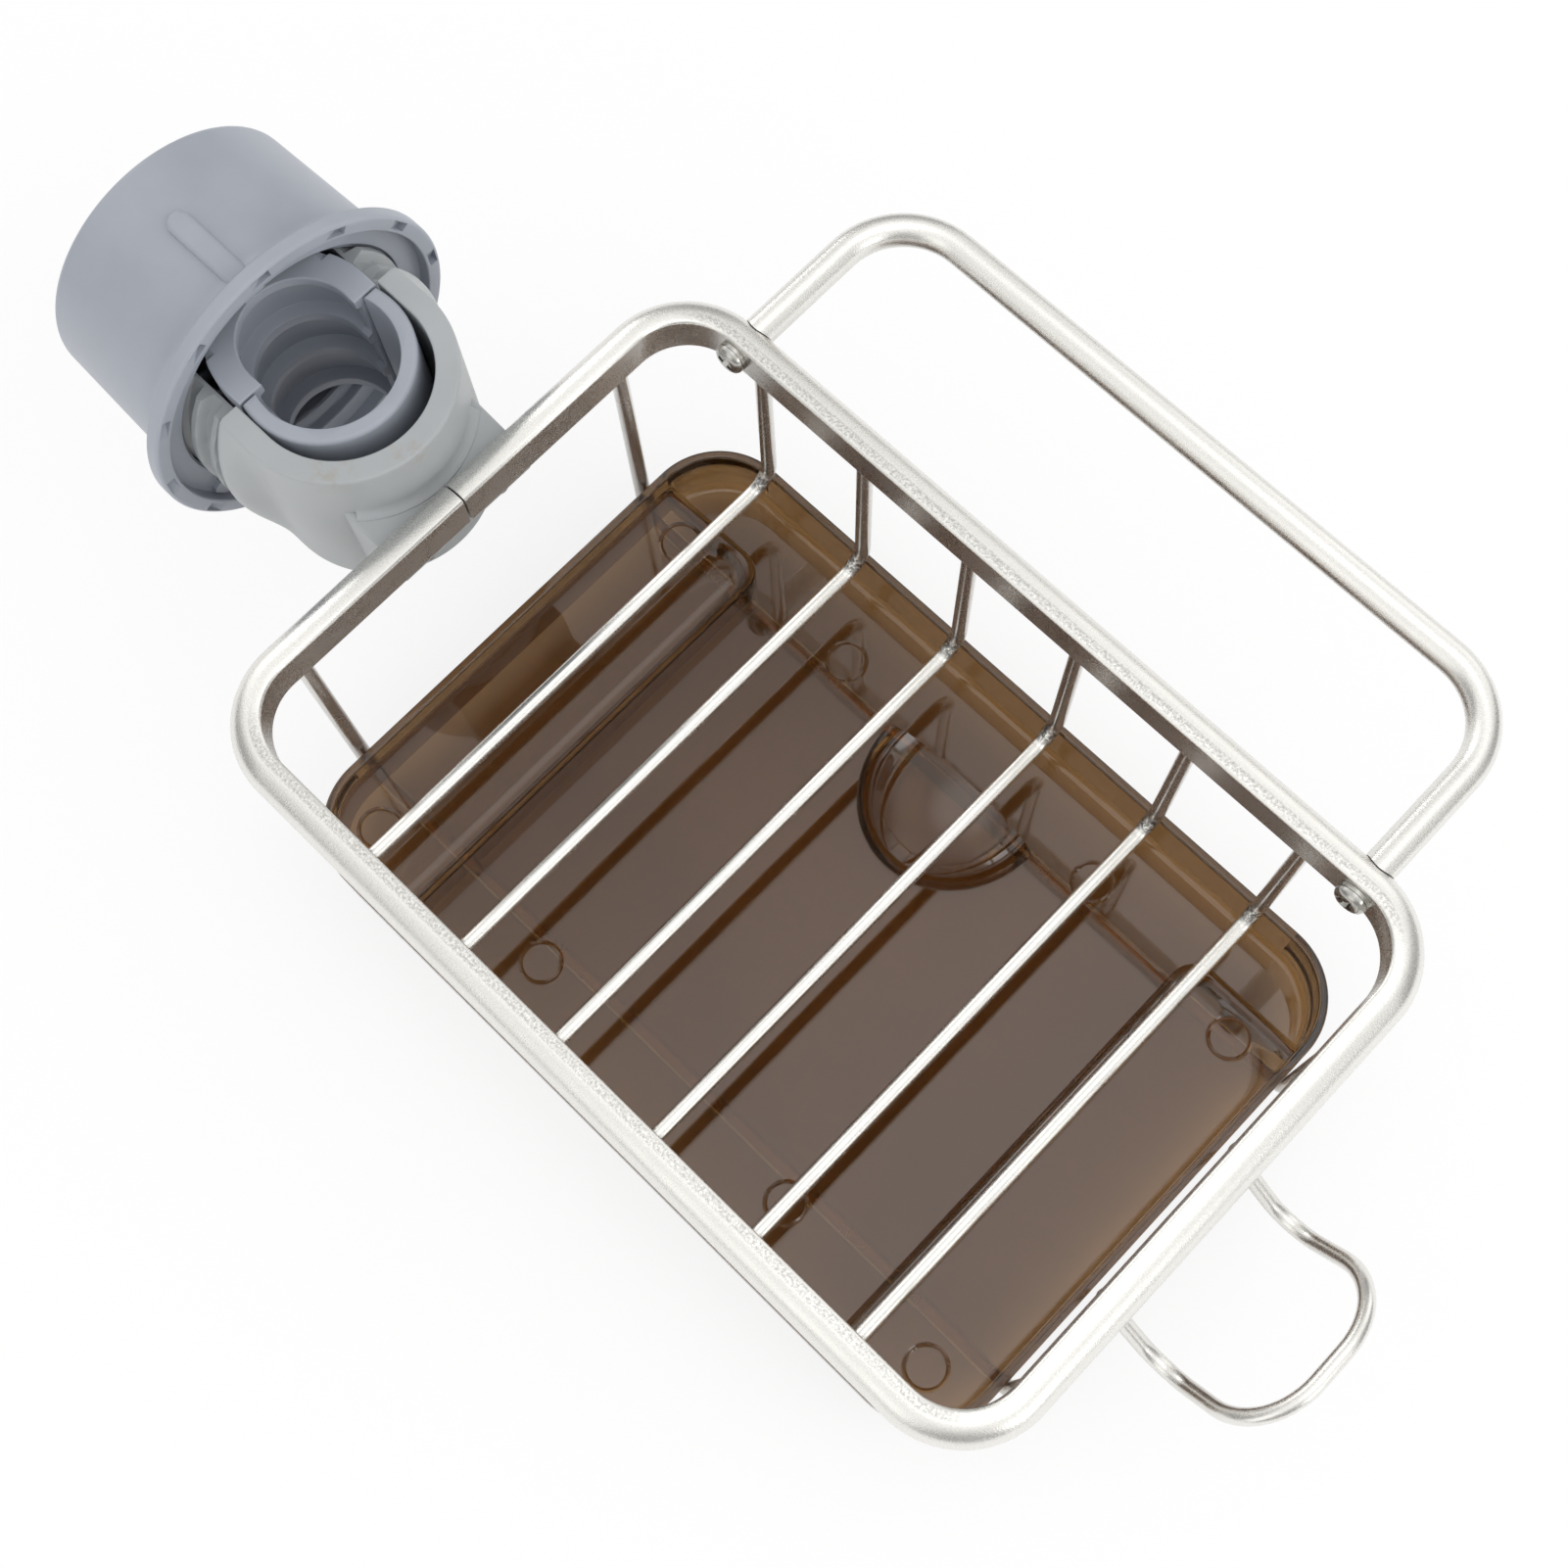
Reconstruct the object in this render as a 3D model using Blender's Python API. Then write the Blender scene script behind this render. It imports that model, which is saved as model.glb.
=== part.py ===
"""Faucet sink caddy: wire basket, drip tray, towel bar, hook and a screw clamp.

Metres, +Z up. The origin is the centre of the faucet bore at the height of
the clamp screw's axis. +X runs from the clamp to the hook, +Y to the towel bar.
"""

from math import acos, asin, ceil, cos, pi, radians, sin, sqrt, tan

import bmesh
import bpy
from mathutils import Matrix, Vector

# Clearances
SEAT_GAP = 0.0003          # between pieces that touch
SEAM_GAP = 0.0003          # butt seam of the rim
RUN_GAP = 0.0004           # thread envelope and tray ends
TRAY_TOP_GAP = 0.0006      # tray lip below the basket wires
OVERCUT = 0.0020           # how far a cutter runs past the face it opens

# Rim: a D-section bar, flat side inwards
RIM_LENGTH = 0.1805
RIM_WIDTH = 0.1200
RIM_CORNER = 0.0175
BAR_DEPTH = 0.00615
BAR_HEIGHT = 0.0088
BAR_FLAT = 0.0016
BAR_ARRIS = 0.0006
RIM_RISE = 0.0072          # rim's middle above the screw axis
BORE_TO_RIM = 0.02715

# Basket wires
CROSS_WIRES = 6
CROSS_WIRE_D = 0.0031
CROSS_PITCH = 0.0257
CROSS_SHIFT = -0.0036
BASKET_DEPTH = 0.0510
CROSS_BEND = 0.0060

# Tray runners
RUNNER_D = 0.0032
RUNNER_SPAN = 0.0780

# Tray
TRAY_WIDTH = 0.1184
TRAY_HEIGHT = 0.0158
TRAY_WALL = 0.0018
TRAY_CORNER = 0.0160
TRAY_FOOT_ROUND = 0.0030
SHELF_LENGTH = 0.0282
SHELF_RISE = 0.0100
SHELF_CHANNEL = 0.0148
SHELF_CORNER = 0.0055
SHELF_EDGE_ROUND = 0.0035
DOME_X = 0.0017
DOME_Y = 0.0390
DOME_HALF_LENGTH = 0.0195
DOME_REACH = 0.0215
DOME_RISE = 0.0100
DOME_TURN = radians(87)
MARK_D = 0.0090
MARK_DEPTH = 0.0002
MARK_X = 0.0335            # on the floor, in each quarter
MARK_Y = 0.0434
SHELF_MARK_X = 0.0730
SHELF_MARK_YS = (-0.0474, 0.0360)

# Hook loop
HOOK_D = 0.0032
HOOK_HALF_WIDTH = 0.0176
HOOK_DROP = 0.0455
HOOK_DIP = 0.0600
HOOK_DIP_REACH = 0.0168
HOOK_TIP_REACH = 0.0352
HOOK_TIP_DROP = 0.0368
HOOK_BEND = 0.0080
HOOK_NOSE = 0.0140

# Towel bar
TOWEL_D = 0.0060
TOWEL_INSET = 0.00115       # arm's middle past the end of the rim's corner
TOWEL_REACH = 0.0370
TOWEL_BEND = 0.0150

# Screws
BAR_SCREW_D = 0.0030
BAR_SCREW_HEAD_D = 0.0062
BAR_SCREW_HEAD_H = 0.0022
BAR_SCREW_GRIP = 0.0080
YOKE_SCREW_D = 0.0024
YOKE_SCREW_HEAD_D = 0.0044
YOKE_SCREW_HEAD_H = 0.0016
YOKE_SCREW_BITE = 0.0044
YOKE_SCREW_Y = 0.0090
CUP_SCREW_D = 0.0030
CUP_SCREW_HEAD_D = 0.0072
CUP_SCREW_HEAD_H = 0.0022
CUP_SCREW_GRIP = 0.0120

# Clamp yoke
YOKE_HALF_HEIGHT = 0.0200
YOKE_WALL = 0.0044
CRADLE_R = 0.0165
CRADLE_X = 0.0040
YOKE_FACE_X = -0.0044
YOKE_SHOULDER_R = 0.0256
YOKE_SHOULDER_TALL = 1.32
LIP_HEIGHT = 0.0025
LIP_R = 0.0139
ARM_R = 0.0254
ARM_LENGTH = 0.0300
ARM_CHAMFER = 0.0010
PAD_HALF_WIDTH = 0.0155
PAD_TOP = 0.0085
PAD_SLOPE = 0.0020
PAD_LENGTH = 0.0105
PAD_DEPTH = 0.0125
PAD_FILLET = 0.0016
LEDGE_THICKNESS = 0.0033
LEDGE_REACH = 0.0045
LEDGE_STEP = 0.0009

# Half ring insert
INSERT_BORE_R = 0.0132
INSERT_END_X = -0.0038

# Thrust jaw
JAW_CLOSED_GAP = 0.0004
JAW_HALF_WIDTH = 0.0160
JAW_BACK_X = -0.0240
JAW_BORE_R = 0.0108
JAW_BORE_X = -0.0069
JAW_GROOVES = 3
JAW_GROOVE_DEPTH = 0.0026
JAW_GROOVE_HEIGHT = 0.0100
JAW_RIB_HEIGHT = 0.0026
JAW_GROOVE_SLOPE = 0.0005
JAW_POST = 0.0022          # end post of each groove
JAW_POST_DEPTH = 0.0012
STEM_R = 0.0050

# Screw cup
CUP_FACE_X = -0.0120
CUP_LENGTH = 0.0362
CUP_R = 0.0287
CUP_END_R = 0.0276
CUP_END_WALL = 0.0020
CUP_END_ROUND = 0.0016
THREAD_DEPTH = 0.0018
FLANGE_R = 0.0335
FLANGE_THICKNESS = 0.0030
FLANGE_FLARE = 0.0050
FLANGE_CHAMFER = 0.0004
MOUTH_R = 0.0304
MOUTH_DEPTH = 0.0026
POCKETS = 12
POCKET_LENGTH = 0.0036
POCKET_WIDTH = 0.0015
POCKET_DEPTH = 0.0014
GRIP_RIBS = 3
GRIP_RIB_WIDTH = 0.0045
GRIP_RIB_LENGTH = 0.0212
GRIP_RIB_RISE = 0.0011
GRIP_RIB_ROUND = 0.0010
GRIP_RIB_TURN = radians(3)
RECESS_R = 0.0056
RECESS_DEPTH = 0.0036
BOSS_WALL = 0.0018

# Facets
WIRE_SIDES = 10
TOWEL_SIDES = 14
ARC_STEP = radians(15)
LATHE_STEPS = 48
STEM_STEPS = 22
SCREW_STEPS = 14

# Places that follow from the sizes
RIM_X = BORE_TO_RIM + RIM_LENGTH / 2
BAR_MIDDLE = BAR_DEPTH / 2
LEG_X = RIM_LENGTH / 2 - BAR_MIDDLE
LEG_Y = RIM_WIDTH / 2 - BAR_MIDDLE
TOWEL_SPAN = RIM_LENGTH - 2 * (RIM_CORNER + TOWEL_INSET)
TRAY_TOP = -BASKET_DEPTH - CROSS_WIRE_D / 2 - TRAY_TOP_GAP
TRAY_BOTTOM = TRAY_TOP - TRAY_HEIGHT
TRAY_HALF_LENGTH = LEG_X - RUNNER_D / 2 - RUN_GAP
RUNNER_DEPTH = -TRAY_BOTTOM + SEAT_GAP + RUNNER_D / 2
RUNNER_BEND = TRAY_FOOT_ROUND + SEAT_GAP + RUNNER_D / 2
CUP_END_X = CUP_FACE_X - CUP_LENGTH
CUP_BORE_R = ARM_R + RUN_GAP
BOSS_FACE_X = CUP_END_X + RECESS_DEPTH + BOSS_WALL
LEDGE_TOP = RIM_RISE - BAR_HEIGHT / 2 - SEAT_GAP
LEDGE_BOTTOM = LEDGE_TOP - LEDGE_THICKNESS


def clear_scene():
    for obj in list(bpy.data.objects):
        bpy.data.objects.remove(obj, do_unlink=True)


def material(name, colour, roughness, metallic=0.0, transmission=0.0, alpha=1.0):
    mat = bpy.data.materials.new(name)
    mat.use_nodes = True
    bsdf = mat.node_tree.nodes["Principled BSDF"]
    bsdf.inputs["Base Color"].default_value = (*colour, 1.0)
    bsdf.inputs["Roughness"].default_value = roughness
    bsdf.inputs["Metallic"].default_value = metallic
    bsdf.inputs["Transmission Weight"].default_value = transmission
    bsdf.inputs["Alpha"].default_value = alpha
    mat.diffuse_color = (*colour, alpha)
    return mat


def empty(name, location, parent=None):
    obj = bpy.data.objects.new(name, None)
    obj.empty_display_size = 0.01
    obj.parent = parent
    obj.location = location
    bpy.context.scene.collection.objects.link(obj)
    return obj


def skin(name, rings, mat=None, closed=False, parent=None, location=(0, 0, 0), sharp=35):
    """A closed body through rings of equally many points, capped unless the path is closed."""
    bm = bmesh.new()
    loops = [[bm.verts.new(p) for p in ring] for ring in rings]
    count = len(loops[0])
    pairs = list(zip(loops, loops[1:]))
    if closed:
        pairs.append((loops[-1], loops[0]))
    for low, high in pairs:
        for i in range(count):
            j = (i + 1) % count
            bm.faces.new((low[i], low[j], high[j], high[i]))
    if not closed:
        bm.faces.new(loops[0])
        bm.faces.new(loops[-1])
    bmesh.ops.recalc_face_normals(bm, faces=bm.faces)
    mesh = bpy.data.meshes.new(name)
    bm.to_mesh(mesh)
    bm.free()
    return place(name, mesh, mat, parent, location, sharp)


def place(name, mesh, mat=None, parent=None, location=(0, 0, 0), sharp=35):
    obj = bpy.data.objects.new(name, mesh)
    if mat and not mesh.materials:
        mesh.materials.append(mat)
    mesh.shade_smooth()
    mesh.set_sharp_from_angle(angle=radians(sharp))
    obj.parent = parent
    obj.location = location
    bpy.context.scene.collection.objects.link(obj)
    return obj


def prism(name, outline, low, high, **options):
    """A flat outline in XY raised from one height to another."""
    rings = [[Vector((x, y, z)) for x, y in outline] for z in (low, high)]
    return skin(name, rings, **options)


def side_prism(name, outline, low, high, **options):
    """A flat outline in XZ carried along Y."""
    rings = [[Vector((x, y, z)) for x, z in outline] for y in (low, high)]
    return skin(name, rings, **options)


def turn(axis, along, radius, angle):
    """A point of a turned body: distance along the axis, radius and angle."""
    u, v = radius * cos(angle), radius * sin(angle)
    return {"X": Vector((along, u, v)), "Y": Vector((u, along, v)), "Z": Vector((u, v, along))}[axis]


def lathe(name, profile, axis="X", steps=LATHE_STEPS, **options):
    """A body turned from an open profile of (along, radius), with a flat cap at each end."""
    rings = [[turn(axis, a, r, 2 * pi * i / steps) for i in range(steps)] for a, r in profile]
    return skin(name, rings, **options)


def tube_lathe(name, profile, axis="X", steps=LATHE_STEPS, **options):
    """A body turned from a closed profile that stays off the axis."""
    rings = [[turn(axis, a, r, 2 * pi * i / steps) for a, r in profile] for i in range(steps)]
    return skin(name, rings, closed=True, **options)


def arc(x, y, radius, start, end, step=ARC_STEP, squash=1.0):
    count = max(2, ceil(abs(end - start) / step))
    angles = [start + (end - start) * i / count for i in range(count + 1)]
    return [(x + radius * cos(a), y + radius * squash * sin(a)) for a in angles]


def rounded_rectangle(half_x, half_y, radius, step=ARC_STEP):
    points = []
    for k, (sx, sy) in enumerate(((1, 1), (-1, 1), (-1, -1), (1, -1))):
        points += arc(sx * (half_x - radius), sy * (half_y - radius), radius, k * pi / 2, (k + 1) * pi / 2, step)
    return points


def boolean(obj, tool, operation="DIFFERENCE"):
    mod = obj.modifiers.new(tool.name, "BOOLEAN")
    mod.solver = "EXACT"
    mod.operation = operation
    mod.object = tool
    tool.hide_render = True
    tool.display_type = "WIRE"


def filleted(corners, radii):
    """A polyline in space with each inner corner rounded to its radius."""
    points = [Vector(corners[0])]
    for before, corner, after, radius in zip(corners, corners[1:], corners[2:], radii):
        corner = Vector(corner)
        back = (Vector(before) - corner).normalized()
        ahead = (Vector(after) - corner).normalized()
        half = back.angle(ahead) / 2
        centre = corner + (back + ahead).normalized() * radius / sin(half)
        spoke = corner + back * radius / tan(half) - centre
        axis = ahead.cross(back)
        sweep = pi - 2 * half
        count = max(2, ceil(sweep / ARC_STEP))
        points += [centre + Matrix.Rotation(sweep * i / count, 3, axis) @ spoke for i in range(count + 1)]
    points.append(Vector(corners[-1]))
    return points


def wire_rings(path, diameter, sides):
    """Round sections square to the path, carried without twist."""
    rings = []
    tangents = []
    for i, point in enumerate(path):
        ahead = path[min(i + 1, len(path) - 1)] - point
        back = point - path[max(i - 1, 0)]
        tangents.append((ahead.normalized() + back.normalized()).normalized())
    normal = tangents[0].orthogonal().normalized()
    for point, tangent in zip(path, tangents):
        normal = (normal - tangent * normal.dot(tangent)).normalized()
        across = tangent.cross(normal)
        angles = [2 * pi * k / sides for k in range(sides)]
        rings.append([point + (normal * cos(a) + across * sin(a)) * diameter / 2 for a in angles])
    return rings


def wire(name, corners, radii, diameter, sides=WIRE_SIDES, **options):
    return skin(name, wire_rings(filleted(corners, radii), diameter, sides), sharp=50, **options)


def bar_section(grow=0.0):
    """The D: (out from the inner flat face, up), with its round side outwards."""
    half = BAR_HEIGHT / 2
    bulge = BAR_DEPTH - BAR_FLAT
    points = [(-grow, -half + BAR_ARRIS), (BAR_ARRIS - grow, -half - grow)]
    count = 14
    for i in range(count + 1):
        a = -pi / 2 + pi * i / count
        points.append((BAR_FLAT + (bulge + grow) * cos(a), (half + grow) * sin(a)))
    points += [(BAR_ARRIS - grow, half + grow), (-grow, half - BAR_ARRIS)]
    return points


def rim_rings(section, seam):
    """Sections round the rim, from one side of the seam to the other."""
    half_x = RIM_LENGTH / 2 - BAR_DEPTH
    half_y = RIM_WIDTH / 2 - BAR_DEPTH
    radius = RIM_CORNER - BAR_DEPTH
    stations = [((-half_x, -seam / 2), pi)]
    for k, (sx, sy) in enumerate(((-1, -1), (1, -1), (1, 1), (-1, 1))):
        start = pi + k * pi / 2
        count = ceil(pi / 2 / ARC_STEP)
        for i in range(count + 1):
            a = start + pi / 2 * i / count
            x = sx * (half_x - radius) + radius * cos(a)
            y = sy * (half_y - radius) + radius * sin(a)
            stations.append(((x, y), a))
    if seam:
        stations.append(((-half_x, seam / 2), pi))
    return [[Vector((x + u * cos(a), y + u * sin(a), v)) for u, v in section] for (x, y), a in stations]


def make_rim(mats, frame):
    rim = skin("rim_rail", rim_rings(bar_section(), SEAM_GAP), mat=mats["aluminium"], parent=frame)
    for side in (-1, 1):
        hole = lathe(
            "bar_screw_hole_%d" % side,
            [(RIM_WIDTH / 2 - BAR_DEPTH - OVERCUT, BAR_SCREW_D / 2 + SEAT_GAP),
             (RIM_WIDTH / 2 + OVERCUT, BAR_SCREW_D / 2 + SEAT_GAP)],
            axis="Y", steps=SCREW_STEPS, parent=frame, location=(side * TOWEL_SPAN / 2, 0, 0))
        boolean(rim, hole)
        socket = lathe(
            "yoke_screw_socket_%d" % side,
            [(-BAR_HEIGHT / 2 - OVERCUT, YOKE_SCREW_D / 2 + SEAT_GAP),
             (-BAR_HEIGHT / 2 + YOKE_SCREW_BITE + SEAT_GAP, YOKE_SCREW_D / 2 + SEAT_GAP)],
            axis="Z", steps=SCREW_STEPS, parent=frame,
            location=(-RIM_LENGTH / 2 + yoke_screw_inset(), side * YOKE_SCREW_Y, 0))
        boolean(rim, socket)
    envelope = skin("rim_envelope", rim_rings(bar_section(SEAT_GAP), 0), closed=True, parent=frame)
    return rim, envelope


def yoke_screw_inset():
    """How far the ledge screws stand in from the rim's outer face."""
    return LEDGE_REACH - YOKE_SCREW_HEAD_D / 2 - SEAT_GAP


def make_wires(mats, frame, envelope):
    inside = -BAR_HEIGHT / 4
    made = []
    for i in range(CROSS_WIRES):
        x = (i - (CROSS_WIRES - 1) / 2) * CROSS_PITCH + CROSS_SHIFT
        corners = [(0, -LEG_Y, inside), (0, -LEG_Y, -BASKET_DEPTH), (0, LEG_Y, -BASKET_DEPTH), (0, LEG_Y, inside)]
        made.append(wire("cross_wire_%d" % (i + 1), corners, [CROSS_BEND] * 2, CROSS_WIRE_D,
                         mat=mats["aluminium"], parent=frame, location=(x, 0, 0)))
    for name, side in (("tray_runner_front", -1), ("tray_runner_back", 1)):
        corners = [(-LEG_X, 0, inside), (-LEG_X, 0, -RUNNER_DEPTH), (LEG_X, 0, -RUNNER_DEPTH), (LEG_X, 0, inside)]
        made.append(wire(name, corners, [RUNNER_BEND] * 2, RUNNER_D,
                         mat=mats["aluminium"], parent=frame, location=(0, side * RUNNER_SPAN / 2, 0)))
    half = HOOK_HALF_WIDTH
    side_run = [(0, inside), (0, -HOOK_DROP), (HOOK_DIP_REACH, -HOOK_DIP), (HOOK_TIP_REACH, -HOOK_TIP_DROP)]
    corners = [(x, half, z) for x, z in side_run] + [(x, -half, z) for x, z in reversed(side_run)]
    bends = [HOOK_BEND, HOOK_BEND, HOOK_NOSE, HOOK_NOSE, HOOK_BEND, HOOK_BEND]
    made.append(wire("hook_loop", corners, bends, HOOK_D,
                     mat=mats["aluminium"], parent=frame, location=(LEG_X, 0, 0)))
    for obj in made:
        boolean(obj, envelope)


def make_towel_bar(mats, frame, envelope):
    half = TOWEL_SPAN / 2
    start = -BAR_DEPTH / 2
    corners = [(-half, start, 0), (-half, TOWEL_REACH, 0), (half, TOWEL_REACH, 0), (half, start, 0)]
    bar = wire("towel_bar", corners, [TOWEL_BEND] * 2, TOWEL_D, sides=TOWEL_SIDES,
               mat=mats["aluminium"], parent=frame, location=(0, RIM_WIDTH / 2, 0))
    boolean(bar, envelope)
    head_seat = RIM_WIDTH / 2 - BAR_DEPTH - SEAT_GAP
    for number, side in ((1, -1), (2, 1)):
        place_at = (side * half, 0, 0)
        socket = lathe("towel_socket_%d" % number,
                       [(RIM_WIDTH / 2 - BAR_DEPTH, BAR_SCREW_D / 2 + SEAT_GAP),
                        (RIM_WIDTH / 2 + BAR_SCREW_GRIP + SEAT_GAP, BAR_SCREW_D / 2 + SEAT_GAP)],
                       axis="Y", steps=SCREW_STEPS, parent=frame, location=place_at)
        boolean(bar, socket)
        pan_screw("towel_bar_screw_%d" % number, head_seat, -1, BAR_SCREW_HEAD_D, BAR_SCREW_HEAD_H, BAR_SCREW_D,
                  BAR_DEPTH + SEAT_GAP + BAR_SCREW_GRIP, "Y", mats["steel"], frame, place_at)


def pan_screw(name, seat, outward, head_d, head_h, shank_d, length, axis, mat, parent, location):
    """A pan head screw along an axis: its head stands outward of the seat, its shank the other way."""
    head_r = head_d / 2
    crown = [(seat + outward * head_h * h, head_r * r) for h, r in ((1.0, 0.30), (0.97, 0.62), (0.80, 0.88), (0.45, 1.0))]
    profile = crown + [(seat, head_r), (seat, shank_d / 2), (seat - outward * (length - shank_d / 2), shank_d / 2),
                       (seat - outward * length, shank_d / 4)]
    return lathe(name, profile, axis=axis, steps=SCREW_STEPS, mat=mat, parent=parent, location=location)


def tray_rings(half_x, half_y, corner, levels):
    """Rounded rectangles drawn in by each level's inset."""
    return [[Vector((x, y, z)) for x, y in rounded_rectangle(half_x - inset, half_y - inset, corner - inset)]
            for z, inset in levels]


def rounded_levels(low, high, radius, at_top, steps=4):
    """Heights and insets of a straight wall with one rounded end."""
    levels = []
    for i in range(steps + 1):
        a = pi / 2 * i / steps
        if at_top:
            levels.append((high - radius + radius * sin(a), radius * (1 - cos(a))))
        else:
            levels.append((low + radius - radius * cos(a), radius * (1 - sin(a))))
    return [(low, 0.0)] + levels if at_top else levels + [(high, 0.0)]


def shelf_rings(low, high, inset, reach):
    """The raised end shelf: its long inner edge and free corner are rounded over."""
    edge = SHELF_EDGE_ROUND - inset if SHELF_EDGE_ROUND > inset else SHELF_EDGE_ROUND / 4
    corner = SHELF_CORNER
    x_wall = TRAY_HALF_LENGTH - reach
    x_foot = TRAY_HALF_LENGTH - SHELF_LENGTH + inset
    y_free = TRAY_WIDTH / 2 - SHELF_CHANNEL - inset
    y_wall = -TRAY_WIDTH / 2 + reach
    rings = []
    for z, draw in rounded_levels(low, high, edge, True):
        left = x_foot + draw
        top = y_free - draw
        free = arc(left + corner, top - corner, corner, pi / 2, pi)
        far = arc(x_wall - TRAY_CORNER + reach, y_wall + TRAY_CORNER - reach, TRAY_CORNER - reach, -pi / 2, 0)
        outline = [(x_wall, top)] + free + [(left, y_wall)] + far
        rings.append([Vector((x, y, z)) for x, y in outline])
    return rings


def dome_rings(base, below, inset):
    """A quarter of an egg with its flat side towards +Y, built from sections across X."""
    rings = []
    steps = 12
    arcs = 8
    flat = DOME_Y - inset
    reach = DOME_REACH - 2 * inset
    half = DOME_HALF_LENGTH - inset
    for i in range(steps + 1):
        a = (2 * i / steps - 1) * DOME_TURN
        ring = [(flat, base - below)]
        for j in range(arcs + 1):
            b = pi / 2 * j / arcs
            ring.append((flat - reach * cos(a) * sin(b), base + DOME_RISE * cos(a) * cos(b)))
        ring.append((flat - reach * cos(a), base - below))
        rings.append([Vector((DOME_X + half * sin(a), y, z)) for y, z in ring])
    return rings


def make_tray(mats, frame):
    tray = skin("drip_tray", tray_rings(TRAY_HALF_LENGTH, TRAY_WIDTH / 2, TRAY_CORNER,
                                        rounded_levels(TRAY_BOTTOM, TRAY_TOP, TRAY_FOOT_ROUND, False)),
                mat=mats["smoke"], parent=frame)
    floor = TRAY_BOTTOM + TRAY_WALL
    inner_round = max(TRAY_FOOT_ROUND - TRAY_WALL, TRAY_FOOT_ROUND / 4)
    inner = tray_rings(TRAY_HALF_LENGTH - TRAY_WALL, TRAY_WIDTH / 2 - TRAY_WALL, TRAY_CORNER - TRAY_WALL,
                       rounded_levels(floor, TRAY_TOP + TRAY_WALL, inner_round, False, 2))
    boolean(tray, skin("tray_cavity", inner, parent=frame))
    shelf_top = floor + SHELF_RISE
    below = TRAY_BOTTOM - TRAY_WALL
    for side, name in ((1, "hook_end"), (-1, "clamp_end")):
        for label, rings, operation in (
                ("shelf", shelf_rings(TRAY_BOTTOM + TRAY_WALL / 2, shelf_top, 0.0, TRAY_WALL / 2), "UNION"),
                ("shelf_hollow", shelf_rings(below, shelf_top - TRAY_WALL, TRAY_WALL, TRAY_WALL), "DIFFERENCE")):
            rings = [[Vector((side * p.x, p.y, p.z)) for p in ring] for ring in rings]
            boolean(tray, skin("%s_%s" % (label, name), rings, parent=frame), operation)
    boolean(tray, skin("dome", dome_rings(floor, TRAY_WALL / 2, 0.0), parent=frame), "UNION")
    boolean(tray, skin("dome_hollow", dome_rings(TRAY_BOTTOM, TRAY_WALL, TRAY_WALL), parent=frame))
    marks = [(sx * MARK_X, sy * MARK_Y, floor) for sx in (-1, 1) for sy in (-1, 1)]
    marks += [(sx * SHELF_MARK_X, y, shelf_top) for sx in (-1, 1) for y in SHELF_MARK_YS]
    for number, place_at in enumerate(marks):
        disc = lathe("mark_%d" % (number + 1), [(-MARK_DEPTH, MARK_D / 2), (OVERCUT, MARK_D / 2)],
                     axis="Z", steps=SCREW_STEPS, parent=frame, location=place_at)
        boolean(tray, disc)
    return tray


def yoke_body_rings():
    """Outlines up the body: shoulders at the arms' face that flow into the round cradle wall."""
    wall_r = CRADLE_R + YOKE_WALL
    levels = 12
    blend = 7
    rings = []
    for k in range(levels + 1):
        z = YOKE_HALF_HEIGHT * (2 * k / levels - 1)
        shoulder = YOKE_SHOULDER_R * sqrt(1 - (z / (YOKE_SHOULDER_R * YOKE_SHOULDER_TALL)) ** 2)
        side = []
        for i in range(blend):
            t = i / blend
            x = YOKE_FACE_X + (CRADLE_X - YOKE_FACE_X) * t
            side.append((x, wall_r + (shoulder - wall_r) * (1 + cos(pi * t)) / 2))
        outline = side + arc(CRADLE_X, 0, wall_r, pi / 2, -pi / 2) + [(x, -y) for x, y in reversed(side)]
        rings.append([Vector((x, y, z)) for x, y in outline])
    return rings


def pad_fillet_rings():
    """The concave round where the cradle wall stands on the pad, swept about the cradle's axis."""
    wall_r = CRADLE_R + YOKE_WALL
    turn_limit = asin((PAD_HALF_WIDTH - SEAT_GAP) / (wall_r + PAD_FILLET))
    rings = []
    count = ceil(2 * turn_limit / ARC_STEP)
    for i in range(count + 1):
        a = turn_limit * (2 * i / count - 1)
        slope_run = max(0.0, CRADLE_X + wall_r * cos(a) - BORE_TO_RIM + PAD_LENGTH)
        foot = PAD_TOP - PAD_SLOPE * slope_run / PAD_LENGTH - SEAT_GAP / 2
        section = [(wall_r - YOKE_WALL / 2, foot - PAD_FILLET), (wall_r + PAD_FILLET, foot - PAD_FILLET)]
        section += [(wall_r + PAD_FILLET * (1 - sin(b)), foot + PAD_FILLET * (1 - cos(b)))
                    for b in (0, pi / 6, pi / 3, pi / 2)]
        section.append((wall_r - YOKE_WALL / 2, foot + PAD_FILLET))
        rings.append([Vector((CRADLE_X + r * cos(a), r * sin(a), z)) for r, z in section])
    return rings


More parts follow.
